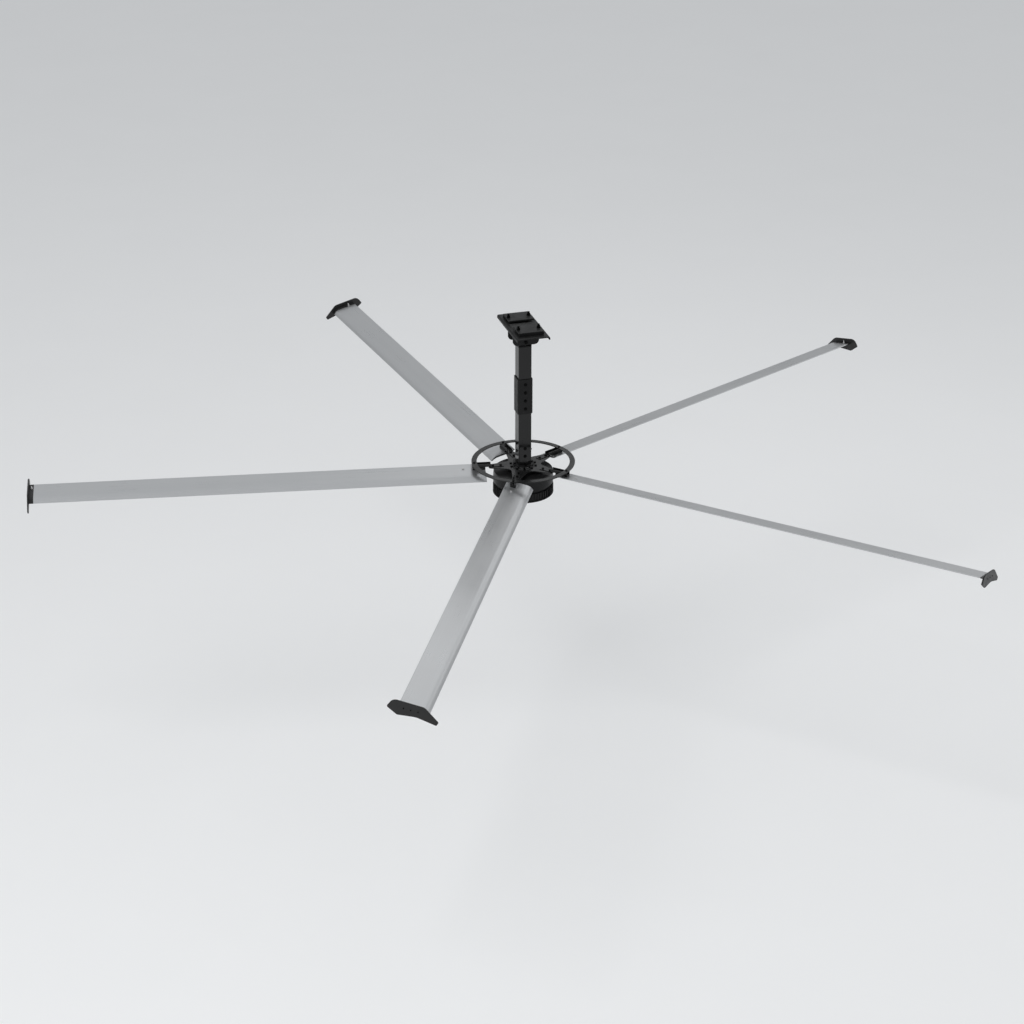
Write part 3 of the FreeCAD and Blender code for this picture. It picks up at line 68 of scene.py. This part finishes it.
class Finish:
    """A material in the making, with short calls for the nodes that repeat."""

    def __init__(self, name, angle=0.0):
        self.material = bpy.data.materials.new(name)
        self.material.use_nodes = True
        self.tree = self.material.node_tree
        self.shader = self.tree.nodes["Principled BSDF"]
        self.angle = angle
        self.place = self.add("TexCoord").outputs["Object"]

    def add(self, kind, **settings):
        node = self.tree.nodes.new("ShaderNode" + kind)
        for name, value in settings.items():
            setattr(node, name, value)
        return node

    def join(self, source, target):
        self.tree.links.new(source, target)

    def fix(self, **sockets):
        """Set sockets of the shader that are the same all over the surface."""
        for name, value in sockets.items():
            self.shader.inputs[name.replace("_", " ")].default_value = value

    def stretched(self, stretch):
        """Object coordinates, turned so that x runs along the blade, with a scale for each axis."""
        turn = self.add("Mapping")
        turn.inputs["Rotation"].default_value = (0, 0, -self.angle)
        self.join(self.place, turn.inputs["Vector"])
        scale = self.add("Mapping")
        scale.inputs["Scale"].default_value = stretch
        self.join(turn.outputs["Vector"], scale.inputs["Vector"])
        return scale.outputs["Vector"]

    def noise(self, scale, detail=3.0, roughness=0.55, stretch=None):
        texture = self.add("TexNoise")
        texture.inputs["Scale"].default_value = scale
        texture.inputs["Detail"].default_value = detail
        texture.inputs["Roughness"].default_value = roughness
        self.join(self.stretched(stretch) if stretch else self.place, texture.inputs["Vector"])
        return texture.outputs["Fac"]

    def spread(self, value, low, high, start=0.3, end=0.7):
        """Map a texture's usual span to a range of values."""
        node = self.add("MapRange")
        ends = {"From Min": start, "From Max": end, "To Min": low, "To Max": high}
        for name, number in ends.items():
            node.inputs[name].default_value = number
        self.join(value, node.inputs["Value"])
        return node.outputs["Result"]

    def times(self, first, second):
        node = self.add("Math", operation="MULTIPLY")
        self.join(first, node.inputs[0])
        self.join(second, node.inputs[1])
        return node.outputs["Value"]

    def plus(self, first, second):
        node = self.add("Math", operation="ADD")
        self.join(first, node.inputs[0])
        self.join(second, node.inputs[1])
        return node.outputs["Value"]

    def tint(self, share, first, second):
        """A colour between two, which may be colours or sockets."""
        node = self.add("Mix", data_type="RGBA")
        self.join(share, node.inputs["Factor"])
        for number, colour in ((MIX_FIRST, first), (MIX_SECOND, second)):
            socket = node.inputs[number]
            if isinstance(colour, bpy.types.NodeSocket):
                self.join(colour, socket)
            else:
                socket.default_value = (*colour, 1)
        return node.outputs[MIX_RESULT]

    def upward(self):
        """How far the surface faces up, for what settles on it."""
        parts = self.add("SeparateXYZ")
        self.join(self.add("NewGeometry").outputs["Normal"], parts.inputs["Vector"])
        return self.spread(parts.outputs["Z"], 0.0, 1.0, *DUST_SLOPE)

    def colour(self, source):
        self.join(source, self.shader.inputs["Base Color"])

    def rough(self, source):
        self.join(source, self.shader.inputs["Roughness"])

    def bump(self, height, strength, depth):
        node = self.add("Bump")
        node.inputs["Strength"].default_value = strength
        node.inputs["Distance"].default_value = depth
        self.join(height, node.inputs["Height"])
        self.join(node.outputs["Normal"], self.shader.inputs["Normal"])


def grey(level, warm=0.0):
    """A neutral colour, a little warmer or cooler."""
    return (level * (1 + warm), level, level * (1 - warm))


def powder_coat(name, level, gloss, dust=0.02, peel=0.14, shine=0.2):
    """Black powder coat: fine orange peel, cloudy colour, some dust where it faces up."""
    finish = Finish(name)
    cloud = finish.noise(5.0, detail=5)
    dark, light = grey(level * 0.75, -0.02), grey(level * 1.25, -0.02)
    coat = finish.tint(finish.spread(cloud, 0, 1), dark, light)
    drift = finish.spread(finish.noise(14.0, detail=6), 0.2 * dust, dust)
    settled = finish.times(finish.upward(), drift)
    finish.colour(finish.tint(settled, coat, grey(0.32, 0.03)))
    patches = finish.spread(finish.noise(22.0, detail=4), gloss - 0.05, gloss + 0.08)
    finish.rough(finish.plus(patches, settled))
    skin = finish.plus(finish.noise(650.0, detail=2), finish.noise(160.0, detail=2))
    finish.bump(skin, peel, 0.25 * MILLIMETRE)
    finish.fix(Specular_IOR_Level=shine)
    return finish.material


def anodised(name, angle):
    """Satin anodised extrusion: die lines along the blade, etched grain, soft handling marks."""
    finish = Finish(name, angle)
    lines = finish.noise(1.0, detail=4, roughness=0.7, stretch=(0.6, 420.0, 420.0))
    bands = finish.noise(1.0, detail=2, stretch=(0.25, 26.0, 26.0))
    clouds = finish.noise(2.2, detail=5, stretch=(1.0, 2.4, 2.4))
    grain = finish.noise(95.0, detail=4, roughness=0.7)
    dull, bright = grey(0.565, -0.010), grey(0.645, -0.010)
    streaks = finish.tint(finish.spread(lines, 0, 1), dull, bright)
    shades = finish.tint(finish.spread(bands, 0, 0.5), streaks, grey(0.575, -0.016))
    marked = finish.tint(finish.spread(clouds, 0, 0.45), shades, grey(0.65, -0.004))
    finish.colour(finish.tint(finish.spread(grain, 0, 0.35), marked, grey(0.56, -0.008)))
    satin = finish.spread(lines, 0.27, 0.34)
    finish.rough(finish.plus(satin, finish.spread(clouds, -0.02, 0.04)))
    finish.bump(finish.plus(lines, grain), 0.10, 0.08 * MILLIMETRE)
    finish.fix(Metallic=0.86, Anisotropic=0.2)
    return finish.material


def moulded(name, level, gloss):
    """Moulded black plastic with a fine spark-eroded grain."""
    finish = Finish(name)
    cells = finish.add("TexVoronoi")
    cells.inputs["Scale"].default_value = MOULD_GRAIN
    finish.join(finish.place, cells.inputs["Vector"])
    cloud = finish.noise(7.0, detail=5)
    plain = finish.tint(finish.spread(cloud, 0, 1), grey(level * 0.85), grey(level * 1.15))
    drift = finish.spread(finish.noise(18.0, detail=6), 0.02, 0.06)
    settled = finish.times(finish.upward(), drift)
    finish.colour(finish.tint(settled, plain, grey(0.3, 0.03)))
    finish.rough(finish.spread(finish.noise(30.0, detail=4), gloss - 0.06, gloss + 0.08))
    finish.bump(cells.outputs["Distance"], 0.18, 0.2 * MILLIMETRE)
    finish.fix(Specular_IOR_Level=0.4)
    return finish.material


def steel(name, plain, rubbed, shine, gloss=0.5):
    """Coated fasteners, with brighter rubbed patches."""
    finish = Finish(name)
    patches = finish.spread(finish.noise(90.0, detail=5), 0, 1, 0.45, 0.8)
    finish.colour(finish.tint(patches, grey(plain), grey(rubbed, 0.02)))
    finish.rough(finish.spread(finish.noise(240.0, detail=3), shine, shine + 0.16))
    finish.bump(finish.noise(700.0, detail=2), 0.1, 0.1 * MILLIMETRE)
    finish.fix(Metallic=0.75, Specular_IOR_Level=gloss)
    return finish.material


LONE_BOLTS_FROM = 0.42  # from the spindle; a bolt past this sits on the blade alone


def blade_bolt_steel(name):
    """Black bolts on the struts, and light zinc where a bolt sits on the blade alone."""
    finish = Finish(name)
    reach = finish.add("VectorMath", operation="LENGTH")
    finish.join(finish.stretched((1, 1, 0)), reach.inputs[0])
    edge = LONE_BOLTS_FROM + MILLIMETRE
    alone = finish.spread(reach.outputs["Value"], 0, 1, LONE_BOLTS_FROM, edge)
    zinc = finish.tint(finish.noise(90.0, detail=5), grey(0.54), grey(0.66, 0.01))
    finish.colour(finish.tint(alone, grey(0.005), zinc))
    finish.rough(finish.spread(finish.noise(240.0, detail=3), 0.34, 0.5))
    finish.bump(finish.noise(700.0, detail=2), 0.1, 0.1 * MILLIMETRE)
    finish.fix(Metallic=0.75, Specular_IOR_Level=0.2)
    return finish.material


def rubber(name):
    """Matte rubber with a chalky bloom."""
    finish = Finish(name)
    bloom = finish.spread(finish.noise(35.0, detail=6), 0, 1, 0.4, 0.75)
    finish.colour(finish.tint(bloom, grey(0.02), grey(0.05, 0.02)))
    finish.rough(finish.spread(bloom, 0.7, 0.9, 0, 1))
    finish.bump(finish.noise(500.0, detail=3), 0.25, 0.2 * MILLIMETRE)
    return finish.material


def machined(name):
    """Turned steel: fine rings about the spindle."""
    finish = Finish(name)
    rings = finish.add("TexWave", wave_type="RINGS", rings_direction="Z")
    rings.inputs["Scale"].default_value = 220.0
    rings.inputs["Distortion"].default_value = 0.6
    finish.join(finish.place, rings.inputs["Vector"])
    finish.colour(finish.tint(finish.noise(40.0), grey(0.48), grey(0.6, 0.01)))
    finish.rough(finish.spread(rings.outputs["Fac"], 0.22, 0.38, 0, 1))
    finish.bump(rings.outputs["Fac"], 0.08, 0.05 * MILLIMETRE)
    finish.fix(Metallic=1.0)
    return finish.material


def laminated(name):
    """Stacked core sheets, seen as fine level lines."""
    finish = Finish(name)
    sheets = finish.add("TexWave", wave_type="BANDS", bands_direction="Z")
    sheets.inputs["Scale"].default_value = 300.0
    finish.join(finish.place, sheets.inputs["Vector"])
    finish.colour(finish.tint(sheets.outputs["Fac"], grey(0.12), grey(0.24, 0.01)))
    finish.rough(finish.spread(finish.noise(60.0), 0.45, 0.6))
    finish.bump(sheets.outputs["Fac"], 0.3, 0.15 * MILLIMETRE)
    finish.fix(Metallic=0.8)
    return finish.material


def enamelled_copper(name):
    """Wound enamelled wire, seen as fine bands."""
    finish = Finish(name)
    turns = finish.add("TexWave", wave_type="BANDS", bands_direction="DIAGONAL")
    turns.inputs["Scale"].default_value = 180.0
    finish.join(finish.place, turns.inputs["Vector"])
    finish.colour(finish.tint(turns.outputs["Fac"], (0.35, 0.13, 0.05), (0.72, 0.32, 0.13)))
    finish.rough(finish.spread(finish.noise(80.0), 0.25, 0.4))
    finish.bump(turns.outputs["Fac"], 0.4, 0.3 * MILLIMETRE)
    finish.fix(Metallic=0.9)
    return finish.material


SLOT_FINISH = {
    "frame_black": powder_coat("frame_black", 0.007, 0.42),
    "tube_black": powder_coat("tube_black", 0.004, 0.10, dust=0.01, peel=0.02, shine=0.36),
    "hub_black": powder_coat("hub_black", 0.006, 0.24, peel=0.08, shine=0.3),
    "motor_black": powder_coat("motor_black", 0.006, 0.30),
    "end_plate_black": moulded("end_plate_black", 0.010, 0.40),
    "dark_fastener": steel("dark_fastener", 0.004, 0.012, 0.34, gloss=0.1),
    "seal_rubber": rubber("seal_rubber"),
    "gland_plastic": moulded("gland_plastic", 0.016, 0.45),
    "machined_steel": machined("machined_steel"),
    "core_iron": laminated("core_iron"),
    "winding_copper": enamelled_copper("winding_copper"),
}


def paint(piece, material):
    piece.data.materials.clear()
    piece.data.materials.append(material)


def dress_nodes():
    for entry in frame["record"]["subparts"]:
        slot = entry["material_slot"]
        if slot in SLOT_FINISH:
            paint(cad[entry["node"]], SLOT_FINISH[slot])
    for number in BLADES:
        aluminium = anodised(f"blade_aluminium_{number}", blade_angle(number))
        paint(cad[f"blade_{number}"], aluminium)
    paint(cad["blade_bolts"], blade_bolt_steel("blade_bolt_steel"))


# Broken edges on the pieces that show

EDGE_SEGMENTS = 2
EDGE_WIDTH = {  # in millimetres
    "base_channel": 1.5, "clamp_plate_front": 1.5, "clamp_plate_rear": 1.5,
    "yoke_ear_front": 1.2, "yoke_ear_rear": 1.2, "cross_block": 1.2, "tube_head": 1.2,
    "upper_tube": 0.8, "lower_tube": 0.8, "tube_coupler": 1.2, "tube_foot": 1.2,
    "clamp_bolts": 0.6, "clamp_nuts": 0.8, "clamp_washers": 0.5, "pivot_bolts": 0.6,
    "coupler_bolts": 0.5, "foot_cross_bolts": 0.5, "tube_nuts": 0.6, "foot_bolts": 0.5,
    "star_plate": 1.0, "safety_ring": 1.2, "top_cover": 1.5, "bottom_cover": 1.5,
    "star_bolts": 0.5, "strut_bolts": 0.5, "blade_bolts": 0.5, "ring_bolts": 0.5,
    **{f"blade_strut_{number}": 0.8 for number in BLADES},
}
WELD_GAP = 0.01 * MILLIMETRE
FLAT_ANGLE = math.radians(0.5)
SHARP_ANGLE = math.radians(32)
CREASE_ANGLE = math.radians(50)


def break_edges(node, width):
    """Round the sharp edges of a piece, over its mesh."""
    modifiers = cad[node].modifiers
    modifiers.new("join", "WELD").merge_threshold = WELD_GAP
    flat = modifiers.new("flat", "DECIMATE")
    flat.decimate_type = "DISSOLVE"
    flat.angle_limit = FLAT_ANGLE
    edge = modifiers.new("edge", "BEVEL")
    edge.width = width * MILLIMETRE
    edge.segments = EDGE_SEGMENTS
    edge.limit_method = "ANGLE"
    edge.angle_limit = SHARP_ANGLE
    modifiers.new("shade", "WEIGHTED_NORMAL")


# Small pieces that the solids leave out

def add_piece(name, mesh, body, slot, material=None):
    piece = bpy.data.objects.new(name, mesh)
    scene.collection.objects.link(piece)
    paint(piece, material or SLOT_FINISH[slot])
    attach(piece, body)


def skin_rings(shape, rings):
    """Join rings of points into a closed tube with capped ends."""
    loops = [[shape.verts.new(point) for point in ring] for ring in rings]
    count = len(loops[0])
    for first, second in zip(loops, loops[1:]):
        for k in range(count):
            shape.faces.new((first[k], first[k - 1], second[k - 1], second[k]))
    shape.faces.new(loops[0])
    shape.faces.new(loops[-1][::-1])


def finish_mesh(shape, name):
    bmesh.ops.recalc_face_normals(shape, faces=shape.faces)
    for face in shape.faces:
        face.smooth = True
    mesh = bpy.data.meshes.new(name)
    shape.to_mesh(mesh)
    shape.free()
    mesh.set_sharp_from_angle(angle=CREASE_ANGLE)
    return mesh


CLAMP_BOLT = 8 * MILLIMETRE  # radius
CLAMP_PITCH = 2 * MILLIMETRE
THREAD_SIDES = 24
THREAD_HEIGHT = 0.055  # ridge as a share of the thread's diameter
THREAD_ROOT = 0.99  # foot of the ridge, as a share of the bolt's radius
THREAD_FOOT = 0.42  # half the foot's width, as a share of the pitch
SORT_DIGITS = 4


def add_thread(shape, start, axis, radius, pitch, length):
    """A helical ridge round the free end of a bolt."""
    turn = axis.to_track_quat("Z", "X").to_matrix()
    steps = int(length / pitch * THREAD_SIDES)
    rings = []
    for k in range(steps + 1):
        angle = math.tau * k / THREAD_SIDES
        taper = min(1.0, k / THREAD_SIDES, (steps - k) / THREAD_SIDES)
        out = Vector((math.cos(angle), math.sin(angle), 0))
        level = UP * (pitch / 2 + (length - pitch) * k / steps)
        root = out * radius * THREAD_ROOT
        crest = out * radius * (1 + 2 * THREAD_HEIGHT * taper)
        half = UP * pitch * THREAD_FOOT
        corners = (root + level - half, crest + level, root + level + half)
        rings.append([start + turn @ corner for corner in corners])
    skin_rings(shape, rings)


def solid_parts(node):
    """The boxes of a node's separate solids, from its connected points."""
    shape = bmesh.new()
    shape.from_mesh(cad[node].data)
    bmesh.ops.remove_doubles(shape, verts=shape.verts, dist=WELD_GAP)
    waiting = set(shape.verts)
    boxes = []
    while waiting:
        group = {waiting.pop()}
        fresh = set(group)
        while fresh:
            near = {edge.other_vert(vert) for vert in fresh for edge in vert.link_edges}
            fresh = near - group
            group |= fresh
        waiting -= group
        places = [vert.co.copy() for vert in group]
        low = Vector(min(place[k] for place in places) for k in range(3))
        high = Vector(max(place[k] for place in places) for k in range(3))
        boxes.append((low, high))
    shape.free()
    return sorted(boxes, key=lambda box: tuple(round(value, SORT_DIGITS) for value in box[0]))


def make_clamp_threads():
    """Threads on the ends of the clamp bolts that stand out of their nuts."""
    shape = bmesh.new()
    bolts = solid_parts("clamp_bolts")
    for low, high in solid_parts("clamp_nuts"):
        middle = (low + high) / 2
        end = next(
            bolt_high.z for bolt_low, bolt_high in bolts
            if all(bolt_low[k] < middle[k] < bolt_high[k] for k in range(3))
        )
        start = Vector((middle.x, middle.y, high.z))
        add_thread(shape, start, UP, CLAMP_BOLT, CLAMP_PITCH, end - high.z)
    mesh = finish_mesh(shape, "clamp_bolt_threads")
    add_piece("clamp_bolt_threads", mesh, "mount_head", "dark_fastener")


BEAD_SIDES = 8
BEAD_STEP = 1.5 * MILLIMETRE
BEAD_RIPPLE = 4  # steps to a ripple
BEAD_DIP = 0.14  # depth of a ripple, as a share of the radius
BEAD_END = 4  # steps in which an end closes


def add_bead(shape, start, end, radius):
    """A rippled fillet weld along a line."""
    run = end - start
    turn = run.to_track_quat("Z", "X").to_matrix()
    steps = int(run.length / BEAD_STEP)
    turns = [math.tau * j / BEAD_SIDES for j in range(BEAD_SIDES)]
    circle = [turn @ Vector((math.cos(angle), math.sin(angle), 0)) for angle in turns]
    rings = []
    for k in range(steps + 1):
        closing = math.sqrt(min(1.0, (k + 0.5) / BEAD_END, (steps - k + 0.5) / BEAD_END))
        ripple = math.sqrt((k % BEAD_RIPPLE + 1) / BEAD_RIPPLE)
        size = radius * closing * (1 - BEAD_DIP + BEAD_DIP * ripple)
        middle = start + run * k / steps
        rings.append([middle + point * size for point in circle])
    skin_rings(shape, rings)


BEAD_RADIUS = 5 * MILLIMETRE
BEAD_INSET = 6 * MILLIMETRE


def make_ear_welds():
    """Welds along both faces of each ear, under the channel."""
    shape = bmesh.new()
    for node in ("yoke_ear_front", "yoke_ear_rear"):
        low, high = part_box(node)
        for y in (low.y, high.y):
            start = Vector((low.x + BEAD_INSET, y, high.z))
            add_bead(shape, start, Vector((high.x - BEAD_INSET, y, high.z)), BEAD_RADIUS)
    add_piece("ear_welds", finish_mesh(shape, "ear_welds"), "mount_head", "frame_black")


STUD_FROM_PLATE = 29 * MILLIMETRE  # inside the end plate's outer face
STUD_AHEAD = 8 * MILLIMETRE  # from the blade's middle towards its leading edge
STUD_PITCH = 1.25 * MILLIMETRE
# Profiles: height, radius and sides of the rings round an axis, in millimetres
STUD_CORE = ((-2.0, 3.6, 24), (20.0, 3.6, 24), (21.0, 2.8, 24))
STUD_WASHER = ((-0.4, 8.4, 32), (1.3, 8.4, 32), (1.6, 8.1, 32))
STUD_NUT = ((1.6, 6.9, 6), (2.2, 7.5, 6), (7.6, 7.5, 6), (8.2, 6.9, 6))
TUBE_WASHER = ((-0.4, 12.4, 32), (2.1, 12.4, 32), (2.4, 12.1, 32))


def add_profile(shape, seat, axis, profile):
    """A turned or hexagonal piece that stands on a face."""
    turn = axis.to_track_quat("Z", "X").to_matrix()
    rings = []
    for height, radius, sides in profile:
        turns = [math.tau * k / sides for k in range(sides)]
        ring = [Vector((radius * math.cos(t), radius * math.sin(t), height)) for t in turns]
        rings.append([seat + turn @ (point * MILLIMETRE) for point in ring])
    skin_rings(shape, rings)


def top_of(node, place):
    """The highest point of a piece at a place, and the way it faces there."""
    mesh = cad[node].data
    faces = [tuple(face.vertices) for face in mesh.polygons]
    tree = BVHTree.FromPolygons([point.co for point in mesh.vertices], faces)
    return tree.ray_cast(place + UP, -UP)[:2]


def make_end_studs():
    """The light clamping stud on each end plate's collar, with its washer and nut."""
    shape = bmesh.new()
    nut_top = STUD_NUT[-1][0] * MILLIMETRE
    stud_top = STUD_CORE[-1][0] * MILLIMETRE
    stud_radius = STUD_CORE[0][1] * MILLIMETRE
    for number in BLADES:
        angle = blade_angle(number)
        along = Vector((math.cos(angle), math.sin(angle), 0))
        ahead = Vector((math.sin(angle), -math.cos(angle), 0))
        node = f"end_plate_{number}"
        reach = max((point.co - HUB).dot(along) for point in cad[node].data.vertices)
        place = HUB + along * (reach - STUD_FROM_PLATE) + ahead * STUD_AHEAD
        seat, axis = top_of(node, place)
        for profile in (STUD_CORE, STUD_WASHER, STUD_NUT):
            add_profile(shape, seat, axis, profile)
        start = seat + axis * nut_top
        add_thread(shape, start, axis, stud_radius, STUD_PITCH, stud_top - nut_top)
    mesh = finish_mesh(shape, "end_plate_studs")
    zinc = steel("stud_zinc", 0.66, 0.82, 0.32)
    add_piece("end_plate_studs", mesh, "rotor", "machined_steel", zinc)


def make_tube_washers():
    """Washers under the nuts of the tube's bolts, and under the heads on the face across."""
    shape = bmesh.new()
    for low, high in solid_parts("tube_nuts"):
        along = min(range(3), key=lambda k: (high - low)[k])
        for side in (1, -1):
            seat = (low + high) / 2
            seat[along] = side * low[along]
            axis = Vector(side if k == along else 0 for k in range(3))
            add_profile(shape, seat, axis, TUBE_WASHER)
    mesh = finish_mesh(shape, "tube_washers")
    add_piece("tube_washers", mesh, "drop_tube", "dark_fastener")


dress_nodes()
for name, width in EDGE_WIDTH.items():
    break_edges(name, width)
make_ear_welds()
make_end_studs()
make_tube_washers()
make_clamp_threads()


# Stage: floor, light and camera

FLOOR_DROP = 2.6  # floor below the hub
FLOOR_SIZE = 700.0
FLOOR_LEVEL = 0.88
FLOOR_SPECK = 0.005  # share by which the tone varies
SKY = (0.95, 0.975, 1.0)
SKY_LOW = 0.38  # light of the room behind the fan, at the horizon
SKY_HIGH = 0.62  # and overhead
SKY_RISE = (0, -0.35, 1)  # direction in which the light grows
SKY_SPAN = (-0.25, 0.55)  # rise at which the light is lowest, and highest
# Lamps: name, place from the hub, width, height, watts, and whether glossy surfaces show it
LAMPS = (
    ("overhead", (4.5, 8, 6.6), 6, 5, 40, True),
    ("side_right", (7.2, 4.2, 3.5), 4, 3, 16, True),
    ("key_left", (-10, -10, 16), 10, 10, 1900, False),
    ("fill_right", (12, -5, 7), 9, 9, 160, False),
)

# The photo's camera, fitted to the blade edges: degrees, metres, and millimetres for the lens
CAMERA_AZIMUTH = -16.421
CAMERA_ELEVATION = 25.841
CAMERA_DISTANCE = 19.280
CAMERA_SIDE = -0.0841
CAMERA_RISE = -0.3244
CAMERA_LENS = 89.92
CAMERA_SENSOR = 36.0
CAMERA_REACH = 1000.0


def make_floor():
    """A plain pale floor, which lets the camera through from below."""
    mesh = bpy.data.meshes.new("floor")
    half = FLOOR_SIZE / 2
    corners = [(-half, -half, 0), (half, -half, 0), (half, half, 0), (-half, half, 0)]
    mesh.from_pydata(corners, [], [(0, 1, 2, 3)])
    floor = bpy.data.objects.new("floor", mesh)
    floor.location = HUB - UP * FLOOR_DROP
    scene.collection.objects.link(floor)
    finish = Finish("floor")
    speck = finish.spread(finish.noise(0.9, detail=6), 0, 1)
    dark, light = grey(FLOOR_LEVEL * (1 - FLOOR_SPECK)), grey(FLOOR_LEVEL * (1 + FLOOR_SPECK))
    finish.colour(finish.tint(speck, dark, light))
    finish.fix(Roughness=0.95, Specular_IOR_Level=0.1)
    clear = finish.add("BsdfTransparent")
    side = finish.add("MixShader")
    finish.join(finish.add("NewGeometry").outputs["Backfacing"], side.inputs["Fac"])
    finish.join(finish.shader.outputs["BSDF"], side.inputs[1])
    finish.join(clear.outputs["BSDF"], side.inputs[2])
    finish.join(side.outputs["Shader"], finish.tree.nodes["Material Output"].inputs["Surface"])
    paint(floor, finish.material)


def make_light(name, place, width, height, power, mirrored):
    """A large soft lamp that faces the hub, seen in glossy surfaces or not."""
    lamp = bpy.data.lights.new(name, "AREA")
    lamp.shape = "RECTANGLE"
    lamp.size = width
    lamp.size_y = height
    lamp.energy = power
    holder = bpy.data.objects.new(name, lamp)
    holder.location = HUB + Vector(place)
    holder.rotation_euler = (-Vector(place)).to_track_quat("-Z", "Y").to_euler()
    holder.visible_glossy = mirrored
    scene.collection.objects.link(holder)


def make_world():
    """Soft light from all round, stronger from overhead and from the front."""
    world = bpy.data.worlds.new("studio")
    scene.world = world
    world.use_nodes = True
    nodes = world.node_tree.nodes
    links = world.node_tree.links
    slope = nodes.new("ShaderNodeVectorMath")
    slope.operation = "DOT_PRODUCT"
    slope.inputs[1].default_value = SKY_RISE
    links.new(nodes.new("ShaderNodeTexCoord").outputs["Generated"], slope.inputs[0])
    rise = nodes.new("ShaderNodeMapRange")
    rise.inputs["From Min"].default_value = SKY_SPAN[0]
    rise.inputs["From Max"].default_value = SKY_SPAN[1]
    rise.inputs["To Min"].default_value = SKY_LOW
    rise.inputs["To Max"].default_value = SKY_HIGH
    links.new(slope.outputs["Value"], rise.inputs["Value"])
    background = nodes["Background"]
    background.inputs["Color"].default_value = (*SKY, 1)
    links.new(rise.outputs["Result"], background.inputs["Strength"])


def make_camera():
    """A camera where the photo was taken from."""
    azimuth = math.radians(CAMERA_AZIMUTH)
    elevation = math.radians(CAMERA_ELEVATION)
    back = Vector((
        math.sin(azimuth) * math.cos(elevation),
        -math.cos(azimuth) * math.cos(elevation),
        math.sin(elevation),
    ))
    right = Vector((math.cos(azimuth), math.sin(azimuth), 0))
    up = back.cross(right)
    lens = bpy.data.cameras.new("camera")
    lens.lens = CAMERA_LENS
    lens.sensor_width = CAMERA_SENSOR
    lens.clip_end = CAMERA_REACH
    camera = bpy.data.objects.new("camera", lens)
    turn = Matrix((right, up, back)).transposed()
    place = HUB + back * CAMERA_DISTANCE + right * CAMERA_SIDE + up * CAMERA_RISE
    camera.matrix_world = Matrix.Translation(place) @ turn.to_4x4()
    scene.collection.objects.link(camera)
    scene.camera = camera


make_floor()
make_world()
for lamp in LAMPS:
    make_light(*lamp)
make_camera()

scene.view_settings.view_transform = "Standard"
